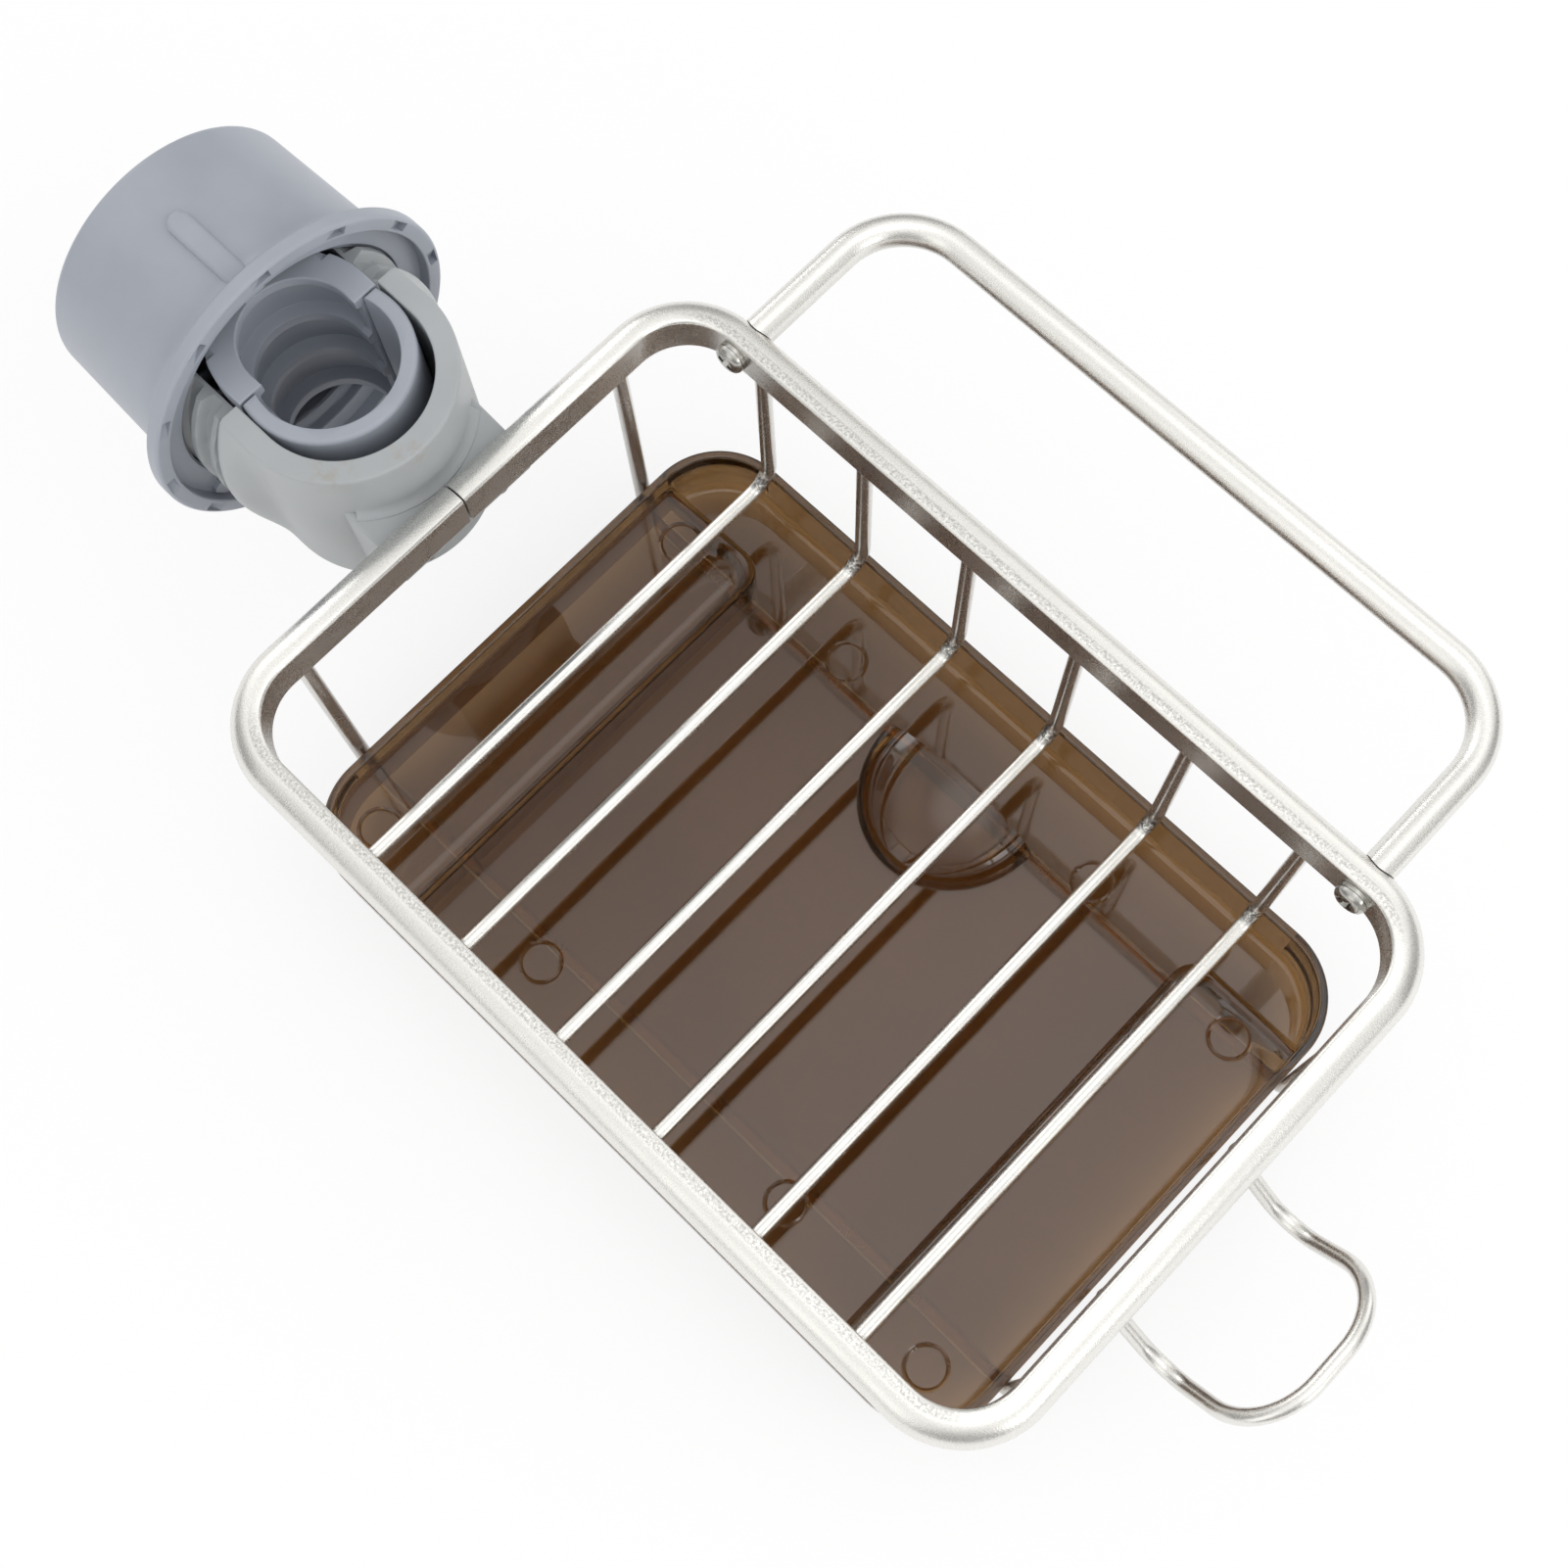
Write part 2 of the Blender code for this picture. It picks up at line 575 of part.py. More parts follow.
def make_yoke(mats, frame, envelope):
    cup_frame = empty("clamp_axis", (0, 0, 0))
    arm_end = YOKE_FACE_X - ARM_LENGTH
    high = YOKE_HALF_HEIGHT + ARM_R
    arms = [(arm_end, ARM_R - ARM_CHAMFER), (arm_end + ARM_CHAMFER, ARM_R), (YOKE_FACE_X + SEAT_GAP, ARM_R)]
    yoke = lathe("clamp_yoke", arms, mat=mats["light_grey"], parent=cup_frame)
    boolean(yoke, skin("yoke_body", yoke_body_rings(), parent=cup_frame), "UNION")
    tip = BORE_TO_RIM + LEDGE_REACH
    pad_low = PAD_TOP - PAD_SLOPE
    pad = [(CRADLE_X, PAD_TOP), (BORE_TO_RIM - PAD_LENGTH, PAD_TOP), (BORE_TO_RIM, pad_low), (tip, pad_low),
           (tip, LEDGE_BOTTOM), (BORE_TO_RIM - LEDGE_STEP, LEDGE_BOTTOM), (BORE_TO_RIM - 3 * LEDGE_STEP, -PAD_DEPTH),
           (CRADLE_X, -PAD_DEPTH)]
    boolean(yoke, side_prism("rim_pad", pad, -PAD_HALF_WIDTH, PAD_HALF_WIDTH, parent=cup_frame), "UNION")
    boolean(yoke, skin("pad_fillet", pad_fillet_rings(), parent=cup_frame), "UNION")
    jaw_way = INSERT_END_X + SEAT_GAP
    far = arm_end - OVERCUT
    through = arc(0, 0, LIP_R, -pi / 2, pi / 2, ARC_STEP / 2)
    through += [(jaw_way, LIP_R), (jaw_way, CRADLE_R), (far, CRADLE_R), (far, -CRADLE_R), (jaw_way, -CRADLE_R),
                (jaw_way, -LIP_R)]
    boolean(yoke, prism("pipe_way", through, -high, high, parent=cup_frame))
    pocket = arc(CRADLE_X, 0, CRADLE_R, -pi / 2, pi / 2, ARC_STEP / 2) + [(far, CRADLE_R), (far, -CRADLE_R)]
    boolean(yoke, prism("insert_pocket", pocket, -YOKE_HALF_HEIGHT + LIP_HEIGHT, high, parent=cup_frame))
    boolean(yoke, envelope)

    screw_x = BORE_TO_RIM + yoke_screw_inset()
    for number, side in ((1, -1), (2, 1)):
        place_at = (screw_x, side * YOKE_SCREW_Y, 0)
        hole = lathe("ledge_hole_%d" % number,
                     [(LEDGE_BOTTOM - OVERCUT, YOKE_SCREW_D / 2 + SEAT_GAP), (RIM_RISE, YOKE_SCREW_D / 2 + SEAT_GAP)],
                     axis="Z", steps=SCREW_STEPS, parent=cup_frame, location=place_at)
        boolean(yoke, hole)
        length = LEDGE_THICKNESS + 2 * SEAT_GAP + YOKE_SCREW_BITE
        pan_screw("yoke_screw_%d" % number, LEDGE_BOTTOM - SEAT_GAP, -1, YOKE_SCREW_HEAD_D, YOKE_SCREW_HEAD_H,
                  YOKE_SCREW_D, length, "Z", mats["steel"], cup_frame, place_at)
    return cup_frame


def make_insert(mats, cup_frame):
    outer = CRADLE_R - SEAT_GAP
    a = acos(INSERT_END_X / outer)
    b = acos(INSERT_END_X / INSERT_BORE_R)
    outline = arc(0, 0, outer, -a, a, ARC_STEP / 2) + arc(0, 0, INSERT_BORE_R, b, -b, ARC_STEP / 2)
    low = -YOKE_HALF_HEIGHT + LIP_HEIGHT + SEAT_GAP
    prism("half_ring_insert", outline, low, YOKE_HALF_HEIGHT, mat=mats["blue_grey"], parent=cup_frame)


def jaw_rings():
    """Outlines of the jaw up its height, with the grooves cut into the bore."""
    end = INSERT_END_X - JAW_CLOSED_GAP
    back_x = JAW_BACK_X + JAW_HALF_WIDTH
    outside = [(end, JAW_HALF_WIDTH)] + arc(back_x, 0, JAW_HALF_WIDTH, pi / 2, 3 * pi / 2)
    outside += [(end, -JAW_HALF_WIDTH)]

    def outline(depth):
        r = JAW_BORE_R
        land = end - JAW_POST
        post = r + JAW_POST_DEPTH * depth / JAW_GROOVE_DEPTH
        inside = [(end, -post), (land, -post), (land, -r - depth)]
        inside += arc(JAW_BORE_X, 0, r + depth, 3 * pi / 2, pi / 2)
        inside += [(land, r + depth), (land, post), (end, post)]
        return outside + inside

    pitch = JAW_GROOVE_HEIGHT + JAW_RIB_HEIGHT
    first = -(JAW_GROOVES * pitch - JAW_RIB_HEIGHT) / 2
    shallow = SEAT_GAP / 10
    levels = [(-YOKE_HALF_HEIGHT, shallow)]
    for i in range(JAW_GROOVES):
        low = first + i * pitch
        high = low + JAW_GROOVE_HEIGHT
        levels += [(low, shallow), (low + JAW_GROOVE_SLOPE, JAW_GROOVE_DEPTH),
                   (high - JAW_GROOVE_SLOPE, JAW_GROOVE_DEPTH), (high, shallow)]
    levels.append((YOKE_HALF_HEIGHT, shallow))
    return [[Vector((x, y, z)) for x, y in outline(depth)] for z, depth in levels]


def make_jaw(mats, cup_frame):
    jaw = skin("thrust_jaw", jaw_rings(), mat=mats["blue_grey"], parent=cup_frame)
    step = CUP_FACE_X - MOUTH_DEPTH
    inside_thread = CUP_BORE_R - THREAD_DEPTH - RUN_GAP
    outside_cup = JAW_HALF_WIDTH + YOKE_HALF_HEIGHT
    room = [(CUP_END_X, inside_thread), (step, inside_thread), (step, outside_cup), (CRADLE_X, outside_cup)]
    boolean(jaw, lathe("cup_room", room, parent=cup_frame), "INTERSECT")
    stem = [(BOSS_FACE_X + SEAT_GAP, STEM_R - ARM_CHAMFER / 2), (BOSS_FACE_X + SEAT_GAP + ARM_CHAMFER / 2, STEM_R),
            (JAW_BACK_X + STEM_R / 2, STEM_R)]
    boolean(jaw, lathe("jaw_stem", stem, steps=STEM_STEPS, parent=cup_frame), "UNION")
    hole_r = CUP_SCREW_D / 2 + SEAT_GAP
    hole = [(BOSS_FACE_X - OVERCUT, hole_r), (BOSS_FACE_X + CUP_SCREW_GRIP + 2 * SEAT_GAP, hole_r)]
    boolean(jaw, lathe("stem_hole", hole, steps=SCREW_STEPS, parent=cup_frame))


def cup_profile():
    """Closed section of the cup from the flange's face round the outside, the end and the bore."""
    flange_back = CUP_FACE_X - FLANGE_THICKNESS
    points = [(CUP_FACE_X, MOUTH_R), (CUP_FACE_X, FLANGE_R - FLANGE_CHAMFER), (CUP_FACE_X - FLANGE_CHAMFER, FLANGE_R),
              (flange_back, FLANGE_R)]
    count = 5
    for i in range(1, count + 1):
        a = pi / 2 * i / count
        points.append((flange_back - FLANGE_FLARE * (1 - cos(a)), FLANGE_R - (FLANGE_R - CUP_R) * sin(a)))
    points += arc(CUP_END_X + CUP_END_ROUND, CUP_END_R - CUP_END_ROUND, CUP_END_ROUND, pi / 2, pi, pi / 8)
    floor = CUP_END_X + RECESS_DEPTH
    hole_r = CUP_SCREW_D / 2 + SEAT_GAP
    points += [(CUP_END_X, RECESS_R), (floor, RECESS_R), (floor, hole_r), (BOSS_FACE_X, hole_r),
               (BOSS_FACE_X, RECESS_R + BOSS_WALL), (CUP_END_X + CUP_END_WALL, RECESS_R + BOSS_WALL)]
    inner = CUP_END_X + CUP_END_WALL
    points += [(inner, CUP_BORE_R - CUP_END_ROUND), (inner + CUP_END_ROUND, CUP_BORE_R),
               (CUP_FACE_X - MOUTH_DEPTH, CUP_BORE_R), (CUP_FACE_X - MOUTH_DEPTH, MOUTH_R)]
    return points


def make_cup(mats, cup_frame):
    cup = tube_lathe("screw_cup", cup_profile(), mat=mats["blue_grey"], parent=cup_frame)
    half = GRIP_RIB_WIDTH / 2
    near = CUP_FACE_X - FLANGE_THICKNESS / 2
    far = near - GRIP_RIB_LENGTH + half
    levels = rounded_levels((CUP_R + CUP_BORE_R) / 2, CUP_R + GRIP_RIB_RISE, GRIP_RIB_ROUND, True, 3)
    for k in range(GRIP_RIBS):
        turned = Matrix.Rotation(GRIP_RIB_TURN + 2 * pi * k / GRIP_RIBS, 3, "X")
        rings = []
        for z, inset in levels:
            r = half - inset
            outline = [(near, r)] + arc(far, 0, r, pi / 2, 3 * pi / 2, pi / 8) + [(near, -r)]
            rings.append([turned @ Vector((x, y, z)) for x, y in outline])
        boolean(cup, skin("grip_rib_%d" % (k + 1), rings, parent=cup_frame), "UNION")
    middle = (MOUTH_R + FLANGE_R) / 2
    for k in range(POCKETS):
        turned = Matrix.Rotation(2 * pi * (k + 0.5) / POCKETS, 3, "X")
        low, high = middle - POCKET_WIDTH / 2, middle + POCKET_WIDTH / 2
        wedge = [(CUP_FACE_X, -POCKET_LENGTH / 2), (CUP_FACE_X + POCKET_DEPTH, -POCKET_LENGTH / 2),
                 (CUP_FACE_X + POCKET_DEPTH, POCKET_LENGTH / 2), (CUP_FACE_X - POCKET_DEPTH, POCKET_LENGTH / 2)]
        rings = [[turned @ Vector((x, y, z)) for x, y in wedge] for z in (low, high)]
        boolean(cup, skin("pocket_%d" % (k + 1), rings, parent=cup_frame))
    seat = CUP_END_X + RECESS_DEPTH - SEAT_GAP
    length = BOSS_WALL + 2 * SEAT_GAP + CUP_SCREW_GRIP
    pan_screw("jaw_retaining_screw", seat, -1, CUP_SCREW_HEAD_D, CUP_SCREW_HEAD_H, CUP_SCREW_D,
              length, "X", mats["steel"], cup_frame, (0, 0, 0))


def main():
    clear_scene()
    mats = {
        "aluminium": material("satin_aluminium", (0.80, 0.78, 0.74), 0.32, metallic=1.0),
        "steel": material("bright_steel", (0.78, 0.77, 0.75), 0.18, metallic=1.0),
        "light_grey": material("light_grey_plastic", (0.47, 0.49, 0.50), 0.45),
        "blue_grey": material("blue_grey_plastic", (0.38, 0.41, 0.46), 0.45),
        "smoke": material("smoke_brown_plastic", (0.20, 0.13, 0.08), 0.12, transmission=0.6, alpha=0.8),
    }
    frame = empty("rim_frame", (RIM_X, 0, RIM_RISE))
    rim, envelope = make_rim(mats, frame)
    make_wires(mats, frame, envelope)
    make_towel_bar(mats, frame, envelope)
    make_tray(mats, frame)
    cup_frame = make_yoke(mats, frame, envelope)
    make_insert(mats, cup_frame)
    make_jaw(mats, cup_frame)
    make_cup(mats, cup_frame)


main()
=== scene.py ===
from math import acos, asin, cos, pi, radians, sin, sqrt

import bmesh
import bpy
from bpy.props import FloatProperty, FloatVectorProperty, IntProperty, PointerProperty
from mathutils import Matrix, Vector


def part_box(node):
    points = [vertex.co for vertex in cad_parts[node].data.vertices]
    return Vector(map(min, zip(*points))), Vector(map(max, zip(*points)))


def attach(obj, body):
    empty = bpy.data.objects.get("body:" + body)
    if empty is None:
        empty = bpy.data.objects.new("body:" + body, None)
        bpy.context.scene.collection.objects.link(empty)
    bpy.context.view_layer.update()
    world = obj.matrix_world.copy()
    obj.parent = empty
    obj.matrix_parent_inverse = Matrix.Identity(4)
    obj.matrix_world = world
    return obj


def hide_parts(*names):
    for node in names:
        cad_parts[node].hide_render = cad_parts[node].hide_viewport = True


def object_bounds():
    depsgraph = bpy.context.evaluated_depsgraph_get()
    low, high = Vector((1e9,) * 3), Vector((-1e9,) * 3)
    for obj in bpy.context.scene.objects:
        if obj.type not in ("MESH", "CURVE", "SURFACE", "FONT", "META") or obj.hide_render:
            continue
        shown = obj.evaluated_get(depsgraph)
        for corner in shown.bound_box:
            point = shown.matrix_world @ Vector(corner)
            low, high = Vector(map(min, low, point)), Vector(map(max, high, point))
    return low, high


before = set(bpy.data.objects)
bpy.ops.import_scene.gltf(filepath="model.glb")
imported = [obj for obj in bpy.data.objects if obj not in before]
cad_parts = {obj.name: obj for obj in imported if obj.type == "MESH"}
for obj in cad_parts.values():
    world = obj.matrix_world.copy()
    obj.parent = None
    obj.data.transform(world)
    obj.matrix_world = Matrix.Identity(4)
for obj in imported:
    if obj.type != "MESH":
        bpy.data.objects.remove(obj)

bl_info = {
    "name": "Faucet Sink Caddy",
    "version": (1, 0, 0),
    "blender": (4, 5, 0),
    "location": "View3D > Sidebar > Caddy",
    "description": "Builds a wire sink caddy with a screw clamp and a drip tray over its packed solids",
    "category": "Object",
}

CAD_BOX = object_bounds()
RIM_LOW, RIM_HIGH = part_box("rim_rail")
TRAY_LOW, TRAY_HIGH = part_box("drip_tray")
CUP_LOW, CUP_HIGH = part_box("screw_cup")
RIM_X = (RIM_LOW.x + RIM_HIGH.x) / 2
RIM_Z = (RIM_LOW.z + RIM_HIGH.z) / 2
CROSS_WIRES = sorted(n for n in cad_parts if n.startswith("cross_wire"))

# Gaps, breaks and overlaps that are finer than the panel's sizes
SEAT = 0.0003
EDGE_BREAK = 0.0003
MOUTH_BREAK = 0.0002
HAIR = 0.0001
RIM_FIT = 0.00012
SEAM_DRAW = 0.00015
SEAM_EASE = 0.0002
STEM_BREAK = 0.0005
RIB_ROOT = 0.0014
LEDGE_CUT = 0.002
CLEARANCE = 0.01

# A round in two steps has its middle point at this share of its radius
MID_ROUND = 0.3

# Crest and flank of the threads' teeth as shares of the pitch, and how long the threads run in and out
ARM_TOOTH = (0.26, 0.13)
CUP_TOOTH = (0.20, 0.16)
THREAD_START = 0.004
THREAD_END = 0.0012

# Steps of the threads to a pitch
ARM_THREAD_STEPS = 24
CUP_THREAD_STEPS = 18

# Sides of round bodies
WIRE_SIDES = 24
BAR_SIDES = 36
SCREW_SIDES = 40
ROUND_SIDES = 120
STEM_SIDES = 46
HOLE_SIDES = 32
MARK_SIDES = 64

# Steps of rounds, bends, corners and sweeps
ARRIS_STEPS = 4
TOP_STEPS = 5
INNER_FOOT_STEPS = 6
FILLET_STEPS = 7
FOOT_STEPS = 8
SHELF_TOP_STEPS = 10
BEND_STEPS = 14
SHELF_STEPS = 16
RIB_STEPS = 20
CORNER_STEPS = 24
FLOW_STEPS = 26
DOME_STEPS = 28
SECTION_STEPS = 30
SWEEP_STEPS = 48
LIP_STEPS = 60
HALF_TURN_STEPS = 90

# Smallest share of a corner's mitre, and how far the half dome's sections turn to each side
MITRE_LEAST = 0.4
DOME_TURN = radians(87)

# The floor: gap under the caddy, reach, tone in indirect light, and share of plain white that the camera sees
FLOOR_GAP = 0.0004
FLOOR_REACH = 3.0
FLOOR_TONE = 0.90
FLOOR_WHITE = 0.78
WHITE = (1.0, 1.0, 1.0, 1.0)

# Bright boxes that only the gloss sees: direction, inner and outer angle in degrees, brightness
LIGHT_BOXES = (((0.12, 0.06, 1.0), 6, 26, 1.8),
               ((0.92, -0.10, 0.38), 6, 11, 3.2),
               ((-0.88, 0.22, 0.42), 6, 11, 3.2))

# Lamps: name, place, width and power, all aimed at one point in the basket
LAMPS = (("key_light", (1.10, 0.30, 0.80), 1.2, 5.0),
         ("fill_light", (-0.75, -0.55, 1.10), 1.0, 2.0))
LAMP_TARGET = (0.05, 0.0, 0.0)

# The photo's camera: focal length and width in pixels, place from the rim's middle, turn in degrees
FOCAL_PIXELS = 2200.0
PHOTO_WIDTH = 1601.0
SENSOR_WIDTH = 36.0
EYE = (0.068658, -0.066215, 0.346692)
VIEW_TURN = (16.6405, 1.3443, 44.1617)


def size(name, description, default):
    return FloatProperty(name=name, description=description, default=default, min=0.0, subtype="DISTANCE",
                         unit="LENGTH", precision=5)


def place_along(name, description, default):
    return FloatProperty(name=name, description=description, default=default, subtype="DISTANCE",
                         unit="LENGTH", precision=5)


def share(name, description, default):
    return FloatProperty(name=name, description=description, default=default, min=0.0, subtype="FACTOR")


def turn_of(name, description, default):
    return FloatProperty(name=name, description=description, default=default, subtype="ANGLE",
                         unit="ROTATION")


def number(name, description, default, least=1):
    return IntProperty(name=name, description=description, default=default, min=least)


def colour(name, description, default):
    return FloatVectorProperty(name=name, description=description, default=default, size=3, min=0.0, max=1.0,
                               subtype="COLOR")


class RimSizes(bpy.types.PropertyGroup):
    """Sizes of the rim, the wires and the towel bar"""

    bar_depth: size("Bar Depth", "Rim bar from its flat side to its round side", 0.00615)
    bar_flat: size("Bar Flat", "Straight part of the bar beside its flat side", 0.0016)
    arris: size("Arris", "Eased edge of the bar's flat side", 0.0007)
    corner: size("Corner Radius", "Outer radius of the rim's corners", 0.0175)
    seam: size("Seam", "Gap of the butt seam", 0.00032)
    joint: size("Joint", "Dark gap where the towel bar meets the rim", 0.00015)
    cross_wire: size("Cross Wire", "Diameter of the basket wires", 0.0031)
    cross_bend: size("Cross Wire Bend", "Middle radius of the basket wires' bends", 0.0060)
    runner: size("Runner Wire", "Diameter of the tray runners", 0.0032)
    runner_bend: size("Runner Bend", "Middle radius of the runners' bends", 0.0049)
    runner_span: size("Runner Span", "Distance between the two tray runners", 0.0780)
    hook: size("Hook Wire", "Diameter of the hook loop", 0.0032)
    hook_bend: size("Hook Bend", "Middle radius of the hook's lower bends", 0.0080)
    hook_nose: size("Hook Nose", "Middle radius of the hook's outer bends", 0.0140)
    hook_fall: size("Hook Fall", "Fall of the hook's legs below the rim's middle", 0.0455)
    hook_foot: size("Hook Foot", "Lowest bend, out from the legs", 0.0168)
    hook_depth: size("Hook Depth", "Lowest bend, below the rim's middle", 0.0600)
    hook_reach: size("Hook Reach", "Tip of the hook, out from the legs", 0.0352)
    hook_rise: size("Hook Tip", "Tip of the hook, below the rim's middle", 0.0368)
    hold: size("Wire Hold", "Where the wires start, below the rim's middle", 0.0030)
    towel: size("Towel Bar", "Diameter of the towel bar", 0.0060)
    towel_bend: size("Towel Bar Bend", "Middle radius of the towel bar's bends", 0.0150)


class ScrewSizes(bpy.types.PropertyGroup):
    """Sizes of the screws that their boxes don't give"""

    shank: size("Shank Radius", "Radius of the bar's and jaw's screws", 0.0015)
    washer: size("Washer", "Thickness of the bar screws' washer face", 0.0008)
    small_shank: size("Small Shank Radius", "Radius of the yoke's screws", 0.0012)
    small_head: size("Small Head", "Height of the yoke screws' heads", 0.0016)
    cup_head: size("Cup Screw Head", "Height of the jaw screw's head", 0.0022)
    hole: size("Screw Hole", "Radius of the yoke's screw holes", 0.0015)
    cup_hole: size("Cup Screw Hole", "Radius of the hole for the jaw's screw", 0.0018)


class ClampSizes(bpy.types.PropertyGroup):
    """Sizes of the yoke, the insert and the jaw"""

    half_height: size("Half Height", "Half of the yoke's and jaw's height", 0.0200)
    edge: size("Edge Round", "Round on the mouldings' outer edges", 0.0005)
    crisp: size("Crisp Edge", "Break on the mouldings' inner edges", 0.00018)
    cradle: size("Cradle Radius", "Inner radius of the yoke's cradle", 0.0165)
    cradle_x: place_along("Cradle Centre", "Centre of the cradle past the bore's centre", 0.0040)
    wall: size("Yoke Wall", "Wall of the cradle", 0.0044)
    face_x: place_along("Yoke Face", "Where the arms leave the yoke's body", -0.0044)
    shoulder: size("Shoulder Radius", "Half width of the yoke at its face", 0.0256)
    shoulder_tall: share("Shoulder Stretch", "Height of the shoulders' outline over its width", 1.32)
    lip: size("Lip Radius", "Bore of the lip under the insert", 0.0139)
    lip_height: size("Lip Height", "Height of the lip under the insert", 0.0025)
    arm: size("Arm Radius", "Crest radius of the arms' thread", 0.0254)
    arm_length: size("Arm Length", "Length of the threaded arms", 0.0300)
    pitch: size("Pitch", "Pitch of the clamp's thread", 0.0050)
    arm_depth: size("Arm Thread Depth", "Depth of the thread on the arms", 0.0020)
    arm_flat: size("Arm Flat", "Height of the flats that cut the arms above and below", 0.0160)
    pad_half: size("Pad Half Width", "Half width of the pad on the rim", 0.0155)
    pad_top: size("Pad Top", "Height of the pad over the screw axis", 0.0085)
    pad_slope: size("Pad Slope", "How far the pad falls to the rim", 0.0020)
    pad_length: size("Pad Length", "Length of the pad's slope", 0.0105)
    pad_depth: size("Pad Depth", "How deep the pad's block reaches", 0.0125)
    pad_fillet: size("Pad Fillet", "Round between the cradle wall and the pad", 0.0016)
    ledge: size("Ledge Thickness", "Ledge under the rim", 0.0033)
    ledge_step: size("Ledge Step", "Step from the ledge up to the pad's block", 0.0009)
    insert_bore: size("Insert Bore", "Inner radius of the half ring insert", 0.0132)
    insert_end: place_along("Insert End", "Where the insert's ends stand", -0.0038)
    insert_round: size("Insert Round", "Round on the insert's outer upper edge", 0.0009)
    jaw_bore: size("Jaw Bore", "Radius at the jaw's plates", 0.0108)
    jaw_bore_x: place_along("Jaw Bore Centre", "Centre of the jaw's bore", -0.0069)
    jaw_back: place_along("Jaw Back", "Where the jaw's round back ends", -0.0240)
    grooves: number("Jaw Grooves", "Grooves in the jaw's bore", 3)
    groove_depth: size("Groove Depth", "Depth of the jaw's grooves", 0.0026)
    groove_height: size("Groove Height", "Height of each groove", 0.0100)
    plate: size("Plate Thickness", "Thickness of the plates between the grooves", 0.0026)
    post: size("Groove Post", "End post of each groove", 0.0022)
    post_depth: size("Post Depth", "How far the posts stand back from the plates", 0.0012)
    stem: size("Stem Radius", "Radius of the jaw's stem", 0.0050)


class CupSizes(bpy.types.PropertyGroup):
    """Sizes of the screw cup"""

    radius: size("Cup Radius", "Outer radius of the cup at its flange", 0.0287)
    end_radius: size("Cup End Radius", "Outer radius of the cup at its closed end", 0.0276)
    wall: size("End Wall", "Thickness of the closed end", 0.0020)
    round: size("End Round", "Round at the closed end", 0.0016)
    flange: size("Flange Radius", "Outer radius of the cup's flange", 0.0335)
    thickness: size("Flange Thickness", "Thickness of the flange", 0.0030)
    flange_round: size("Flange Round", "Round on the flange's edges", 0.0007)
    flare: size("Flare", "Length of the flare behind the flange", 0.0050)
    mouth: size("Mouth Radius", "Radius of the cup's mouth in its flange", 0.0304)
    mouth_depth: size("Mouth Depth", "Depth of the cup's mouth", 0.0026)
    fit: size("Thread Fit", "Room between the arms' crests and the cup's bore", 0.0004)
    depth: size("Thread Depth", "Height of the cup's thread", 0.0017)
    recess: size("Recess Radius", "Radius of the screw recess in the closed end", 0.0056)
    recess_depth: size("Recess Depth", "Depth of the screw recess", 0.0036)
    boss: size("Boss Wall", "Wall round the screw recess", 0.0018)
    rib_width: size("Rib Width", "Width of a grip rib", 0.0045)
    rib_length: size("Rib Length", "Length of a grip rib from the flange", 0.0212)
    rib_rise: size("Rib Rise", "Height of a grip rib", 0.0011)
    rib_turn: turn_of("Rib Turn", "Turn of the first grip rib from the top", radians(3))
    ribs: number("Ribs", "Number of grip ribs", 3)
    pockets: number("Pockets", "Number of pockets in the flange's face", 12)
    pocket_length: size("Pocket Length", "Length of a pocket along the flange", 0.0042)
    pocket_width: size("Pocket Width", "Width of a pocket", 0.0017)
    pocket_depth: size("Pocket Depth", "Depth of a pocket at its deep end", 0.0017)


class TraySizes(bpy.types.PropertyGroup):
    """Sizes of the drip tray"""

    wall: size("Wall", "Thickness of the tray's wall and floor", 0.0018)
    corner: size("Corner Radius", "Outer radius of the tray's corners", 0.0160)
    foot: size("Foot Radius", "Round under the tray's edge", 0.0030)
    inner_foot: size("Inner Foot Radius", "Round where the wall meets the floor", 0.0012)
    brim: size("Brim Round", "Round on the tray's upper edge", 0.0005)
    shelf: size("Shelf Length", "Length of each end shelf", 0.0282)
    shelf_rise: size("Shelf Rise", "Height of the end shelves over the floor", 0.0100)
    shelf_corner: size("Shelf Corner", "Corner radius of the shelves' free end", 0.0055)
    shelf_round: size("Shelf Round", "Round along the shelves' upper edge", 0.0035)
    channel: size("Channel", "Width from the shelves' free end to the tray's outside", 0.0148)
    dome_x: place_along("Dome Middle", "Middle of the half dome along the tray", 0.0017)
    dome_y: place_along("Dome Face", "Flat side of the half dome", 0.0390)
    dome_half: size("Dome Half Length", "Half length of the half dome", 0.0195)
    dome_reach: size("Dome Reach", "Reach of the half dome from its flat side", 0.0215)
    dome_rise: size("Dome Rise", "Height of the half dome", 0.0100)
    mark: size("Mark Radius", "Radius of the round marks", 0.0045)
    mark_edge: size("Mark Line", "Width of the marks' ring line", 0.0009)
    mark_depth: size("Mark Depth", "Depth of the marks' ring line", 0.0003)
    mark_x: size("Floor Mark X", "Floor marks from the middle, along the tray", 0.0335)
    mark_y: size("Floor Mark Y", "Floor marks from the middle, across the tray", 0.0434)
    shelf_mark_x: size("Shelf Mark X", "Shelf marks from the middle, along the tray", 0.0730)
    shelf_mark_low: place_along("Shelf Mark Low", "Shelf marks near the far side, across the tray", -0.0474)
    shelf_mark_high: place_along("Shelf Mark High", "Shelf marks near the free end, across the tray", 0.0360)


